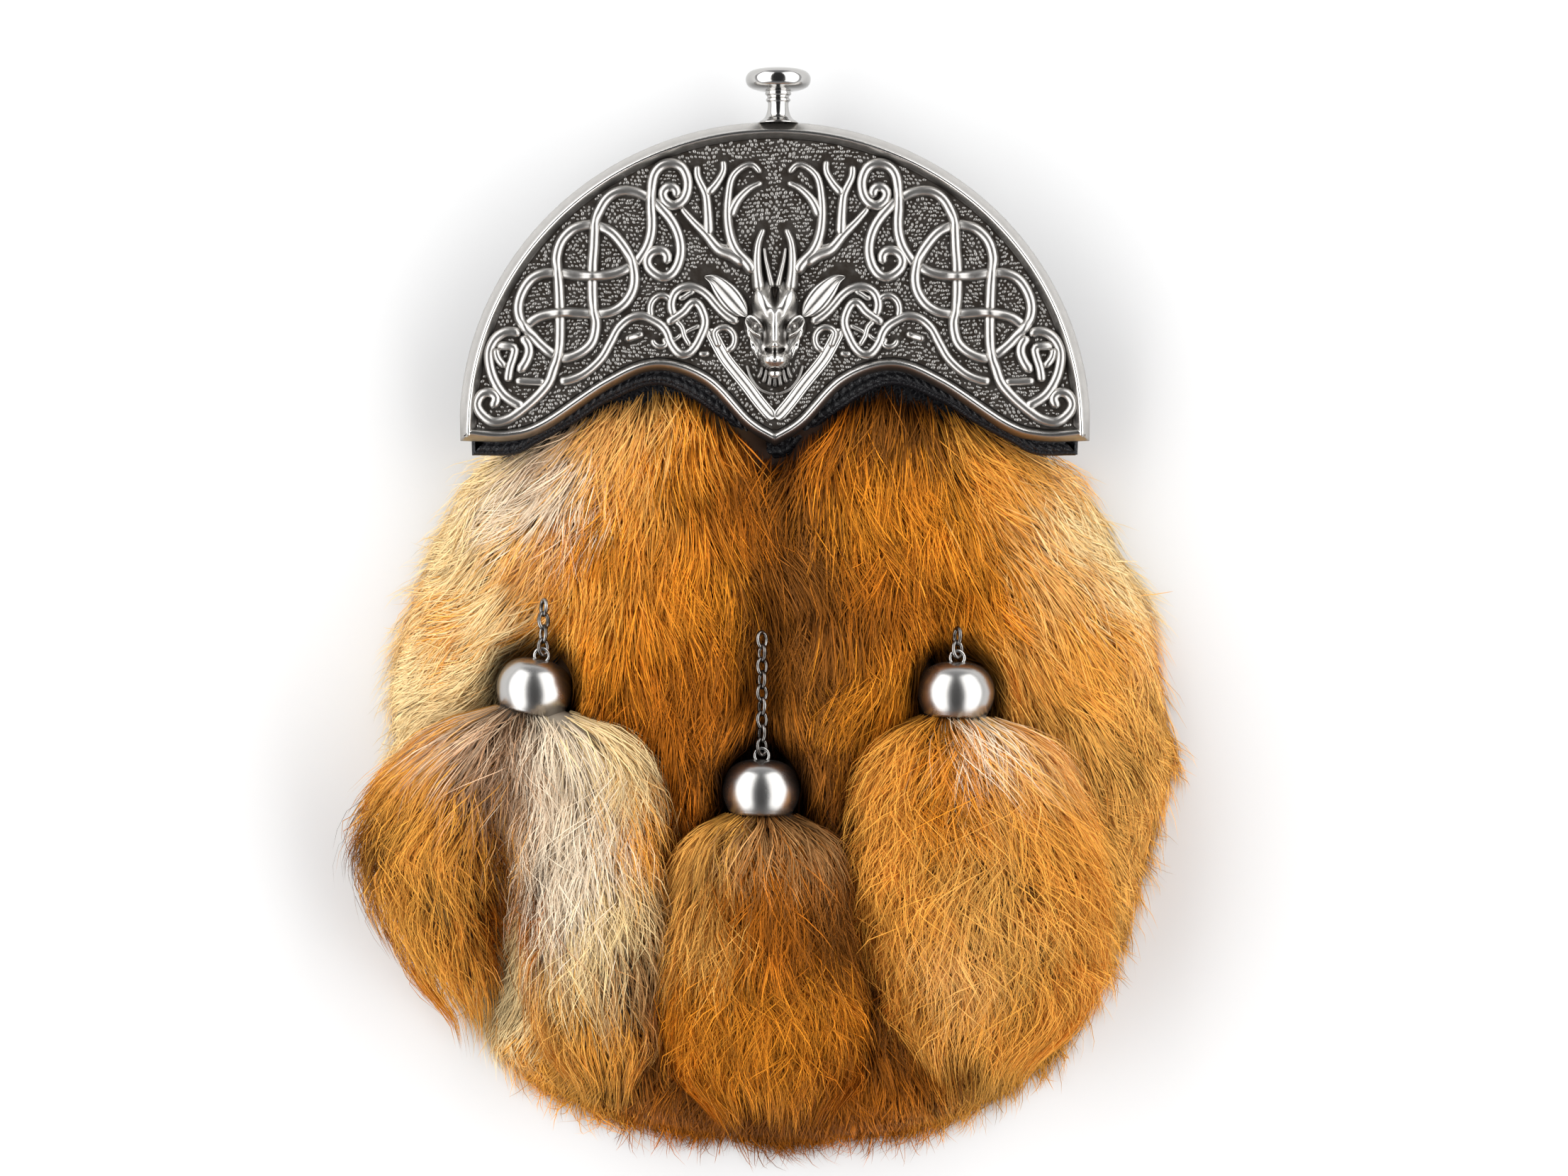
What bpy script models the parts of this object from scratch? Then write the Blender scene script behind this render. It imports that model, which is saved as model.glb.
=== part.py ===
"""A dress sporran lying on its back: a fur pouch under a cast half-moon cantle, with three capped fur tassels.

Frame: +X is the wearer's left, +Y runs from the pouch's foot to the knob, and +Z points out of the front.
The origin is on the flat leather back, which lies on z = 0. Sizes below are in millimetres.
"""

import math

import bmesh
import bpy
import numpy as np
from mathutils import Matrix, Vector

MM = 0.001
GAP = 0.3  # between pieces that touch

# The cantle is half an ellipse over a wavy lower edge with a point in the middle.
CANTLE_Y = 47.3  # height of the ellipse's centre
CANTLE_HALF_WIDTH = 76.0
CANTLE_RISE = 71.5
CANTLE_BACK_Z = 19.3
GROUND_Z = 24.5
OUTLINE_STEP = 5.6  # spacing of points along the outlines
STRAND_STEP = 5.6  # and along cast strands
# Lower edge of the right half, measured from the ellipse's centre: (out, up)
CANTLE_EDGE = [
    (0, -4.4), (7.3, 0.2), (17, 10.2), (28.4, 13.8), (39.8, 9.4), (55, -0.6), (64, -3.3), (75.8, -3.2),
]
# The rim is a bevel up, a crest and a bevel down to the ground: (inward, up)
CANTLE_WALL_Z = 23.8  # top of the rim's upright side wall
RIM_STEPS = [(1.7, 2.6), (1.2, 0.9), (2.2, -2.7)]

# The black leather board behind the cantle shows below its lower edge.
BOARD_INSET = 2.4
BOARD_Z = (16.0, 19.0)
BOARD_EDGE = [
    (0, -7.6), (4, -6.6), (12.6, 2.0), (27, 10.4), (39.8, 6.6), (48, 1.4), (57, -3.4), (63, -6.4), (73.4, -6.8),
]

# The knob is turned: (radius, height above the rim's side wall)
KNOB_PROFILE = [
    (0.0, 13.0), (3.4, 12.8), (6.4, 11.8), (7.9, 9.8), (7.0, 7.8), (2.9, 6.4), (2.5, 5.7), (3.1, 5.0),
    (2.5, 4.2), (2.6, 2.8), (4.4, 0.5), (4.4, 0.0), (0.0, 0.0),
]
KNOB_Z = 23.0

# Cast interlace on the left half, as centre lines from the ellipse's centre: (across, up).
STRAND_RADIUS = 1.45
STRANDS = {
    "long_plait": [
        (-25.4, 61.6), (-28.8, 58.6), (-29.1, 51.0), (-29.8, 44.8), (-33.2, 37.8), (-42.9, 34.6),
        (-51.1, 35.4), (-57.8, 34.6), (-61.2, 28.0), (-58.6, 20.8), (-50.9, 15.3), (-44.2, 18.6),
        (-42.8, 25.0), (-43.1, 34.5), (-42.8, 45.6), (-41.2, 52.6), (-35.9, 54.9), (-27.3, 51.0),
        (-22.3, 42.4), (-26.1, 34.6),
    ],
    "round_plait": [
        (-60.9, 21.0), (-55.6, 25.4), (-43.3, 25.6), (-36.0, 27.8), (-33.4, 34.6), (-37.5, 43.8),
        (-42.9, 46.9), (-49.2, 44.2), (-51.5, 36.5), (-51.3, 25.6), (-51.2, 16.3), (-53.3, 9.2),
        (-58.6, 3.4), (-65.3, -0.3),
    ],
    "heart_scroll": [(-60.9, 21.0), (-66.6, 19.2), (-68.2, 13.0), (-64.2, 6.5), (-58.8, 3.1)],
    "heart_hook": [(-60.7, 20.4), (-58.8, 16.6), (-61.0, 12.4), (-63.4, 14.6)],
    "wave": [
        (-51.2, 9.7), (-43.6, 12.4), (-38.0, 18.6), (-32.4, 24.6), (-26.4, 22.4), (-21.8, 16.6),
        (-17.2, 18.8), (-16.4, 25.4), (-20.8, 29.2), (-25.4, 26.4),
    ],
    "brow_arc": [(-30.3, 26.1), (-26.8, 30.2), (-20.2, 34.0), (-14.8, 30.1)],
    "chin_bar": [(-15.3, 21.6), (-7.8, 9.0), (0.0, 2.4)],
}
# Spirals that finish the strands: strand -> (across, up, outer radius, start angle, sweep)
SPIRALS = {
    "long_plait_top": (-24.6, 57.0, 3.9, 100, -400),
    "long_plait_end": (-26.3, 38.6, 3.6, -90, -400),
    "round_plait_end": (-67.6, 3.4, 3.6, -60, -400),
    "chin_curl": (-12.3, 19.6, 2.7, 220, -300),
}
# Antler beams and tines: centre lines with the radius at the root
ANTLERS = [
    (1.5, [(-3.4, 31.0), (-5.4, 37.1), (-11.3, 42.3), (-12.2, 50.0), (-9.8, 59.0), (-4.4, 60.6)]),
    (1.3, [(-11.9, 48.2), (-8.4, 54.4), (-4.0, 57.0)]),
    (1.5, [(-9.4, 40.0), (-17.3, 45.1), (-22.8, 51.4)]),
    (1.3, [(-16.4, 44.6), (-17.3, 54.2), (-19.4, 61.2)]),
    (1.2, [(-17.3, 53.4), (-14.2, 57.2), (-12.9, 62.4)]),
    (1.5, [(-2.6, 28.5), (-4.3, 38.0), (-3.2, 46.6)]),
]
# The stag's head is built of rounded lumps: (across, up, height, half sizes across, up and out)
HEAD_LUMPS = [
    (0.0, 27.0, 0.6, 5.2, 6.4, 3.2),
    (0.0, 20.0, 1.4, 3.6, 6.0, 3.3),
    (0.0, 15.2, 2.2, 3.0, 2.6, 2.5),
    (-3.3, 24.6, 1.8, 1.7, 2.2, 2.0),
    (3.3, 24.6, 1.8, 1.7, 2.2, 2.0),
    (0.0, 11.8, 0.3, 2.6, 2.6, 1.6),
]
EAR_LUMP = (-11.4, 30.2, 0.4, 5.8, 2.3, 1.8)
EAR_TILT = -38.0  # degrees

# The leather pouch is a flat back panel and an arched front, open at its top. Its sections start at the mouth.
POUCH_WALL = 1.8
POUCH_UPRIGHT = 2.0  # straight part of the front's sides, above the back panel
SIDE_CURVE, CROWN_CURVE = 0.62, 0.72  # powers that square off the sides and the crown of a section
POUCH_SECTIONS = [  # (along y, half width, depth)
    (80, 52, 13.2), (40, 67, 15.0), (26, 71, 19.0), (0, 77, 25.0), (-32, 80, 28.0), (-66, 73, 25.5),
    (-94, 55, 18.0), (-111, 20, 8.0),
]

# The fur stands round the pouch as a dome with this outline: (degrees from +X, radius)
FUR_Y = -30.0
FUR_HEIGHT = 43.0
FUR_FOOT = 0.4  # height of the fur's flat foot above the floor
FUR_EDGE = 3.0  # least height of its outer edge above the foot
FUR_LEAST = 3.5  # thickness over the pouch where a tassel or a chain beds in
FUR_OUTLINE = [
    (0, 92), (25, 94), (45, 103), (60, 106), (90, 105), (120, 106), (135, 102), (155, 91), (180, 88),
    (205, 93), (235, 97), (270, 92), (305, 97), (335, 93),
]
FUR_ANGLES = 32
FUR_RINGS = [0.30, 0.52, 0.70, 0.84, 0.94, 1.0]
LOCK_POINTS = 3  # along each lock of fur
# Locks over the open face and round the hem, as (share of the outline's radius, first angle, last angle, count,
# length, width)
LOCK_ROWS = [
    (0.42, 28, 152, 5, 28, 19),
    (0.66, 20, 160, 7, 28, 18),
    (0.80, -58, 26, 4, 26, 17),
    (0.80, 152, 178, 2, 26, 17),
    (0.90, -150, -26, 9, 20, 16),
    (0.93, 26, -16, 3, 20, 12),
    (0.93, 154, 196, 3, 20, 12),
]
LOCK_THICKNESS = 4.4
NEST_DEPTH = 9.0
PARTINGS = [(1.5, 44, 0, 5.0, 4.0), (-54.0, 20, -12, 4.0, 5.0), (56.0, 34, 4, 3.0, 6.0)]  # x, top, foot, depth, width

# Tassels: a cap's mouth and tilt, its chain's links, and the lobes of fur under it, with a row for each section
CAP_RADIUS = 9.2
CAP_WALL = 0.8
CAP_PROFILE = [(0.0, 12.6), (3.4, 12.2), (7.0, 9.9), (9.2, 5.6), (9.1, 2.6), (7.9, 0.0)]  # radius, height
TASSELS = {
    "left": {
        "mouth": (-57.6, -23.2), "tilt": 5.0, "links": 4,
        "lobes": [  # (along y, centre x, half width, half depth)
            [(-22, -57.6, 6.5, 6.5), (-27, -60.0, 11.0, 8.0), (-40, -69.0, 19.0, 11.0), (-58, -78.0, 19.5, 12.0),
             (-76, -77.0, 15.5, 10.0), (-90, -73.0, 11.0, 7.0)],
            [(-22, -57.0, 6.5, 6.5), (-27, -54.0, 10.0, 8.5), (-42, -46.0, 16.0, 12.0), (-64, -43.0, 15.0, 13.0),
             (-88, -43.0, 14.5, 12.0), (-106, -43.0, 12.0, 8.0)],
        ],
    },
    "center": {
        "mouth": (-2.4, -46.6), "tilt": 0.0, "links": 9,
        "lobes": [
            [(-45, -2.4, 6.5, 6.5), (-50, -2.6, 12.5, 8.5), (-62, -3.4, 18.0, 11.5), (-82, -3.4, 21.0, 13.0),
             (-102, -2.6, 22.0, 11.0), (-115, -2.0, 19.0, 7.5)],
        ],
    },
    "right": {
        "mouth": (43.4, -23.6), "tilt": -2.0, "links": 2,
        "lobes": [
            [(-22, 43.4, 6.5, 6.5), (-27, 43.0, 13.0, 8.5), (-40, 43.4, 22.0, 12.0), (-62, 47.0, 27.0, 14.0),
             (-82, 51.0, 26.0, 13.0), (-100, 51.0, 20.0, 9.0)],
        ],
    },
}
LOBE_SIDES = 10
LOBE_BED = 0.72  # share of a lobe's half depth that stands above the fur
STRIP_ROWS = [(0.42, 30, 4, 0.0), (0.78, 26, 6, 0.35)]  # locks of a lobe: (start, length, how many, turn)
STRIP_THICKNESS = 5.0
UNDER_LIFT, UNDER_SPREAD = 4.2, 1.25  # the tassels clear the fur's dome, raised and widened by these
CAP_LIFT = 5.4  # centre of a cap above the bottom of its nest
LINK_HALF_LENGTH = 1.9
LINK_HALF_WIDTH = 1.25
LINK_WIRE = 0.4
LINK_BITE = 0.2  # how far neighbouring links press into each other
EYE_RADIUS = 1.7

# Plain wire loops behind the board take the strap that the sporran hangs from.
LOOP_X = 46.0
LOOP_Y = 92.0
LOOP_HALF_WIDTH = 9.0
LOOP_WIRE = 1.3
LOOP_DROP = 8.4

# Share of the triangles that the slivers' collapse keeps after each piece's unions
KEPT_SHARE = {"cantle": 0.72, "fur": 0.62, "tassel": 0.70}

COLOURS = {  # name: (red, green, blue), roughness, metallic
    "antique_metal": ((0.50, 0.49, 0.47), 0.30, 1.0),
    "bright_metal": ((0.80, 0.79, 0.77), 0.12, 1.0),
    "black_leather": ((0.015, 0.015, 0.017), 0.45, 0.0),
    "fox_fur": ((0.55, 0.27, 0.07), 0.65, 0.0),
    "brown_fur": ((0.42, 0.20, 0.06), 0.65, 0.0),
}


def clear_scene():
    for obj in list(bpy.data.objects):
        bpy.data.objects.remove(obj)


def make_materials():
    made = {}
    for name, (colour, roughness, metallic) in COLOURS.items():
        material = bpy.data.materials.new(name)
        material.use_nodes = True
        shader = material.node_tree.nodes["Principled BSDF"]
        shader.inputs["Base Color"].default_value = (*colour, 1.0)
        shader.inputs["Roughness"].default_value = roughness
        shader.inputs["Metallic"].default_value = metallic
        made[name] = material
    return made


def new_object(name, mesh, collection, material=None):
    obj = bpy.data.objects.new(name, mesh)
    collection.objects.link(obj)
    if material:
        mesh.materials.append(material)
    return obj


def mesh_from(name, bm):
    """A mesh from bm in metres, with its faces pointing out."""
    bmesh.ops.recalc_face_normals(bm, faces=bm.faces)
    bmesh.ops.scale(bm, vec=(MM, MM, MM), verts=bm.verts)
    mesh = bpy.data.meshes.new(name)
    bm.to_mesh(mesh)
    bm.free()
    return mesh


def bake(obj, collection, weld=0.000005, flat_angle=None):
    """The object's evaluated mesh as a new object in its place, with no modifiers and no loose caps.

    With flat_angle, faces within that many degrees of one plane become one before they are cut in triangles.
    """
    bpy.context.view_layer.update()
    graph = bpy.context.evaluated_depsgraph_get()
    mesh = bpy.data.meshes.new_from_object(obj.evaluated_get(graph))
    bm = bmesh.new()
    bm.from_mesh(mesh)
    if weld:
        bmesh.ops.remove_doubles(bm, verts=bm.verts, dist=weld)
    if flat_angle is not None:
        bmesh.ops.dissolve_limit(bm, angle_limit=math.radians(flat_angle), verts=bm.verts, edges=bm.edges)
    bmesh.ops.triangulate(bm, faces=bm.faces)
    bm.to_mesh(mesh)
    bm.free()
    name, matrix = obj.name, obj.matrix_world.copy()
    bpy.data.objects.remove(obj)
    made = new_object(name, mesh, collection)
    made.matrix_world = matrix
    return made


def join_in_turn(obj, pieces, collection):
    """Unites obj with each piece in turn, which keeps crossing strands closed where one union of them all fails."""
    for piece in pieces:
        boolean = obj.modifiers.new("join", "BOOLEAN")
        boolean.operation = "UNION"
        boolean.solver = "MANIFOLD"
        boolean.object = piece
    made = bake(obj, collection, weld=0.0, flat_angle=1.0)
    for piece in pieces:
        bpy.data.objects.remove(piece)
    return made


def join(obj, pieces, collection, operation="UNION"):
    """Unites pieces with obj, or cuts them from it, and removes them."""
    work = bpy.data.collections.new("work")
    bpy.context.scene.collection.children.link(work)
    for piece in pieces:
        for owner in list(piece.users_collection):
            owner.objects.unlink(piece)
        work.objects.link(piece)
    boolean = obj.modifiers.new("join", "BOOLEAN")
    boolean.operation = operation
    boolean.operand_type = "COLLECTION"
    boolean.collection = work
    boolean.solver = "EXACT"
    boolean.use_self = operation == "UNION"
    made = bake(obj, collection, weld=0.0)
    for piece in pieces:
        bpy.data.objects.remove(piece)
    bpy.data.collections.remove(work)
    return made


def thin_out(obj, share, collection):
    """Collapses the slivers that many unions leave, down to a share of the faces."""
    decimate = obj.modifiers.new("thin", "DECIMATE")
    decimate.ratio = share
    decimate.use_collapse_triangulate = True
    return bake(obj, collection, weld=0.0)


def keep_largest(mesh):
    """Drops the crumbs that a cut leaves beside a mesh's largest body."""
    bm = bmesh.new()
    bm.from_mesh(mesh)
    left, bodies = set(bm.verts), []
    while left:
        body, front = set(), [left.pop()]
        while front:
            vert = front.pop()
            body.add(vert)
            near = {edge.other_vert(vert) for edge in vert.link_edges} & left
            left -= near
            front += near
        bodies.append(body)
    largest = max(bodies, key=len)
    bmesh.ops.delete(bm, geom=[vert for body in bodies if body is not largest for vert in body], context="VERTS")
    bm.to_mesh(mesh)
    bm.free()


def smooth_path(points, step=STRAND_STEP):
    """A Catmull-Rom curve through points, with its points about step apart."""
    p = np.array(points, float)
    ends = np.vstack([2 * p[0] - p[1], p, 2 * p[-1] - p[-2]])
    t = np.linspace(0, 1, 17)[:-1, None]
    pieces = [
        0.5 * (2 * b + (c - a) * t + (2 * a - 5 * b + 4 * c - d) * t**2 + (3 * b - a - 3 * c + d) * t**3)
        for a, b, c, d in zip(ends[:-3], ends[1:-2], ends[2:-1], ends[3:])
    ]
    fine = np.vstack([*pieces, p[-1:]])
    along = np.append(0, np.cumsum(np.linalg.norm(np.diff(fine, axis=0), axis=1)))
    even = np.linspace(0, along[-1], max(2, round(along[-1] / step)) + 1)
    return np.column_stack([np.interp(even, along, fine[:, i]) for i in range(p.shape[1])])


def through_table(rows, y):
    """Each column of a table of sections, read smoothly at y."""
    table = np.array(sorted(rows), float)
    path = smooth_path(table, 0.5)
    return [float(np.interp(y, path[:, 0], path[:, i])) for i in range(1, table.shape[1])]


def mirrored(points):
    return [(-x, y) for x, y in points]


def tube(name, path, radius, collection, sides=6, taper=None):
    """A round bar along path, in the part's frame, thinning along taper if it is given."""
    curve = bpy.data.curves.new(name, "CURVE")
    curve.dimensions = "3D"
    curve.bevel_depth = radius * MM
    curve.bevel_resolution = (sides - 4) // 2
    curve.use_fill_caps = True
    spline = curve.splines.new("POLY")
    spline.points.add(len(path) - 1)
    for i, (point, target) in enumerate(zip(path, spline.points)):
        target.co = (*(Vector(point) * MM), 1.0)
        if taper is not None:
            target.radius = taper(i / (len(path) - 1))
    obj = new_object(name, curve, collection)
    return bake(obj, collection)


def slab(name, outline, low, high, collection, material=None, rim=()):
    """An outline drawn up from low to high. Each step of rim then draws its top face in and up."""
    bm = bmesh.new()
    base = bm.faces.new([bm.verts.new((x, y, low)) for x, y in outline])
    base.normal_update()
    raised = bmesh.ops.extrude_face_region(bm, geom=[base])
    top = next(g for g in raised["geom"] if isinstance(g, bmesh.types.BMFace))
    bmesh.ops.translate(bm, vec=(0, 0, high - low), verts=list(top.verts))
    bmesh.ops.recalc_face_normals(bm, faces=bm.faces)
    for inward, up in rim:
        bmesh.ops.inset_region(bm, faces=[top], thickness=inward, depth=up, use_even_offset=True)
    return new_object(name, mesh_from(name, bm), collection, material)


def half_moon(edge, inset, corner_angle):
    """The outline of the cantle or its board: an elliptical arc over a wavy lower edge, from the frame's origin."""
    right = smooth_path(edge, OUTLINE_STEP)
    count = round(math.pi * CANTLE_RISE / OUTLINE_STEP)
    angles = np.linspace(math.radians(corner_angle), math.pi - math.radians(corner_angle), count)
    arc = np.column_stack([
        (CANTLE_HALF_WIDTH - inset) * np.cos(angles),
        (CANTLE_RISE - inset) * np.sin(angles),
    ])
    left = right[::-1] * [-1, 1]
    outline = np.vstack([left[:-1], right, arc])
    return outline + [0, CANTLE_Y]


def spiral(across, up, radius, start, sweep):
    """A curl that tightens from its outer radius to a third of it."""
    turn = np.linspace(0, 1, round(abs(sweep) / 58) + 1)
    angle = np.radians(start + sweep * turn)
    reach = radius * (1 - 0.68 * turn)
    return np.column_stack([across + reach * np.cos(angle), up + reach * np.sin(angle)])


def on_ground(path, height):
    """A flat centre line from the ellipse's centre, laid on the cantle's ground at height."""
    path = np.array(path, float)
    return np.column_stack([path[:, 0], path[:, 1] + CANTLE_Y, np.full(len(path), GROUND_Z + height)])


def stretches(path, most=9):
    """A path in stretches that don't cross themselves, each starting a little before the last one ends."""
    count = max(1, math.ceil((len(path) - 1) / most))
    ends = np.linspace(0, len(path) - 1, count + 1).round().astype(int)
    made = []
    for i, (first, last) in enumerate(zip(ends, ends[1:])):
        stretch = path[first:last + 1].copy()
        if i:
            stretch[0] += 0.3 * (path[first - 1] - path[first])
        made.append(stretch)
    return made


def lump(name, across, up, height, half_x, half_y, half_z, collection, tilt=0.0):
    bm = bmesh.new()
    bmesh.ops.create_uvsphere(bm, u_segments=8, v_segments=6, radius=1.0)
    bmesh.ops.scale(bm, vec=(half_x, half_y, half_z), verts=bm.verts)
    bmesh.ops.rotate(bm, matrix=Matrix.Rotation(math.radians(tilt), 3, "Z"), verts=bm.verts)
    bmesh.ops.translate(bm, vec=(across, up + CANTLE_Y, GROUND_Z + height), verts=bm.verts)
    return new_object(name, mesh_from(name, bm), collection)


def build_cantle(parts, materials):
    cantle = slab(
        "cantle", half_moon(CANTLE_EDGE, 0.0, 4.0), CANTLE_BACK_Z, CANTLE_WALL_Z, parts, rim=RIM_STEPS
    )
    relief = []
    heights = {"long_plait": 0.0, "round_plait": -0.12, "wave": -0.06, "chin_bar": -0.03}
    for side in (1, -1):
        for name, points in STRANDS.items():
            flat = smooth_path([(side * x, y) for x, y in points])
            path = on_ground(flat, heights.get(name, -0.09) - 0.05 + 0.02 * side)
            for i, stretch in enumerate(stretches(path)):
                relief.append(tube(f"{name}_{side}_{i}", stretch, STRAND_RADIUS - 0.02 * (i % 2), parts, sides=4))
        for i, (name, (across, up, radius, start, sweep)) in enumerate(SPIRALS.items()):
            curl = spiral(across, up, radius, start, sweep) * [side, 1]
            path = on_ground(curl, -0.17 + 0.02 * side + 0.01 * i)
            relief.append(tube(f"{name}_{side}", path, STRAND_RADIUS * 0.85, parts, sides=4))
        for i, (radius, points) in enumerate(ANTLERS):
            flat = smooth_path([(side * x, y) for x, y in points])
            path = on_ground(flat, 0.3 + 0.03 * i + 0.01 * side)
            relief.append(tube(f"antler_{i}_{side}", path, radius, parts, sides=4, taper=lambda t: 1.1 - 0.6 * t))
        across, up, *shape = EAR_LUMP
        relief.append(lump(f"ear_{side}", side * across, up, *shape, parts, tilt=side * EAR_TILT))
    for i, row in enumerate(HEAD_LUMPS):
        relief.append(lump(f"head_{i}", *row, parts))
    cantle = thin_out(join_in_turn(cantle, relief, parts), KEPT_SHARE["cantle"], parts)
    cantle.data.materials.append(materials["antique_metal"])
    return cantle


def build_board(parts, materials):
    outline = half_moon(BOARD_EDGE, BOARD_INSET, -4.6)
    return slab("cantle_board", outline, *BOARD_Z, parts, materials["black_leather"])


def turned(name, profile, steps, collection):
    """A profile of (radius, height) turned about +Z, from its axis round to its axis again."""
    mesh = bpy.data.meshes.new(name)
    mesh.from_pydata([(r * MM, 0, z * MM) for r, z in profile], [(i, i + 1) for i in range(len(profile) - 1)], [])
    obj = new_object(name, mesh, collection)
    screw = obj.modifiers.new("turn", "SCREW")
    screw.steps = screw.render_steps = steps
    screw.use_merge_vertices = True
    screw.merge_threshold = 0.00001
    return bake(obj, collection)


def build_knob(parts, materials):
    knob = turned("knob", KNOB_PROFILE, 14, parts)
    top = CANTLE_Y + CANTLE_RISE
    seat = Matrix.Translation(Vector((0, top + GAP, KNOB_Z)) * MM)
    knob.matrix_world = seat @ Matrix.Rotation(-math.pi / 2, 4, "X")
    knob.data.materials.append(materials["bright_metal"])
    return knob


def arch(half_width, depth, y, grow=0.0):
    """One section of the pouch's front, grown all round by grow: upright feet, rounded sides and a flat crown."""
    half_width, top, low = half_width + grow, depth + grow, POUCH_WALL + GAP
    angles = np.linspace(0, math.pi, 11)
    x = half_width * np.sign(np.cos(angles)) * np.abs(np.cos(angles)) ** SIDE_CURVE
    z = low + POUCH_UPRIGHT + (top - low - POUCH_UPRIGHT) * np.sin(angles) ** CROWN_CURVE
    return [(half_width, y, low), *((px, y, pz) for px, pz in zip(x, z)), (-half_width, y, low)]


def skin(rings, bm, closed=False):
    """Skins rings of points with equal counts, open round their ends unless closed, and returns their vertices."""
    made = [[bm.verts.new(point) for point in ring] for ring in rings]
    for upper, lower in zip(made, made[1:]):
        for i in range(len(upper) - (not closed)):
            j = (i + 1) % len(upper)
            bm.faces.new([upper[i], upper[j], lower[j], lower[i]])
    return made


def build_pouch_front(parts, materials):
    """The arched front and sides, open towards the mouth, standing on the back panel's border."""
    bm = bmesh.new()
    rings = skin([arch(width, depth, y) for y, width, depth in POUCH_SECTIONS], bm)
    bm.faces.new(rings[-1][::-1])
    front = new_object("pouch_front", mesh_from("pouch_front", bm), parts, materials["black_leather"])
    wall = front.modifiers.new("wall", "SOLIDIFY")
    wall.thickness = POUCH_WALL * MM
    wall.offset = -1.0
    wall.use_even_offset = True
    return bake(front, parts)


def build_pouch_back(parts, materials):
    """The flat back panel, as wide as the front at each section."""
    right = [(width, y) for y, width, _ in POUCH_SECTIONS]
    outline = [*right[::-1], *mirrored(right)]
    return slab("pouch_back", outline, 0.0, POUCH_WALL, parts, materials["black_leather"])


def pouch_space(collection):
    """The room that the pouch takes, with a gap round it, down through the floor and up past the mouth."""
    grow, low, past_mouth = GAP + 0.15, -2.0, 12.0
    rows = [list(row) for row in POUCH_SECTIONS]
    rows[0][0] += past_mouth
    rows[-1][0] -= grow
    rings = []
    for y, width, depth in rows:
        wide = width + grow
        rings.append([(wide, y, low), *arch(width, depth, y, grow)[1:-1], (-wide, y, low)])
    bm = bmesh.new()
    made = skin(rings, bm, closed=True)
    bm.faces.new(made[0])
    bm.faces.new(made[-1][::-1])
    return new_object("cut_pouch", mesh_from("cut_pouch", bm), collection)


def fur_radius(angle):
    """The fur's outline radius at an angle in radians, read smoothly round the table."""
    table = np.array(FUR_OUTLINE, float)
    wrapped = np.vstack([table[-3:] - [360, 0], table, table[:3] + [360, 0]])
    path = smooth_path(wrapped, 1.0)
    return np.interp(np.degrees(angle) % 360, path[:, 0], path[:, 1])


def tassel_axes():
    """Each lobe's axis and the chain above it, as (name, points of (x, y, half width))."""
    axes = []
    for name, tassel in TASSELS.items():
        x, y = tassel["mouth"]
        for lobe in tassel["lobes"]:
            axes.append((name, [(row[1], row[0], row[2]) for row in lobe]))
        reach = chain_pitch() * tassel["links"] + 16
        axes.append((name, [(x, y + step, 6.0) for step in np.linspace(0, reach, 6)]))
    return axes


def nest(x, y):
    """How deep the tassels and chains press into the fur at (x, y), from 0 to 1."""
    deepest = 0.0
    for _, points in tassel_axes():
        for (ax, ay, aw), (bx, by, bw) in zip(points, points[1:]):
            span = np.array([bx - ax, by - ay])
            t = np.clip(((x - ax) * span[0] + (y - ay) * span[1]) / (span @ span), 0, 1)
            away = math.hypot(x - ax - t * span[0], y - ay - t * span[1])
            reach = (aw + t * (bw - aw)) * 1.15
            deepest = max(deepest, math.exp(-((away / reach) ** 4)))
    return deepest


def pouch_top(x, y):
    """The front of the pouch's wall above the floor at (x, y), and 0 beside the pouch."""
    rows = np.array(POUCH_SECTIONS[::-1], float)
    half_width, depth = (np.interp(y, rows[:, 0], rows[:, i], left=0.01) for i in (1, 2))
    across = min(abs(x) / half_width, 1.0) ** (1 / SIDE_CURVE)
    return depth * (1 - across**2) ** (CROWN_CURVE / 2)


def fur_height(x, y):
    """The fur's outer surface above the floor at (x, y), nests and partings included."""
    dx, dy = x, y - FUR_Y
    share = min(math.hypot(dx, dy) / float(fur_radius(math.atan2(dy, dx))), 1.0)
    fullness = 2.6 - 1.1 * min(max(dy / 60, 0.0), 1.0)  # the top slopes up from the board, the foot is round
    crown = (1 - share**fullness) ** 0.5
    parting = sum(
        depth * math.exp(-(((x - px) / width) ** 2)) * (foot < y < top) for px, top, foot, depth, width in PARTINGS
    )
    sunk = (NEST_DEPTH * nest(x, y) + parting) * min(1.0, crown * 1.4)
    return max(FUR_HEIGHT * crown - sunk, pouch_top(x, y) + FUR_LEAST, 0.0)


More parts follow.
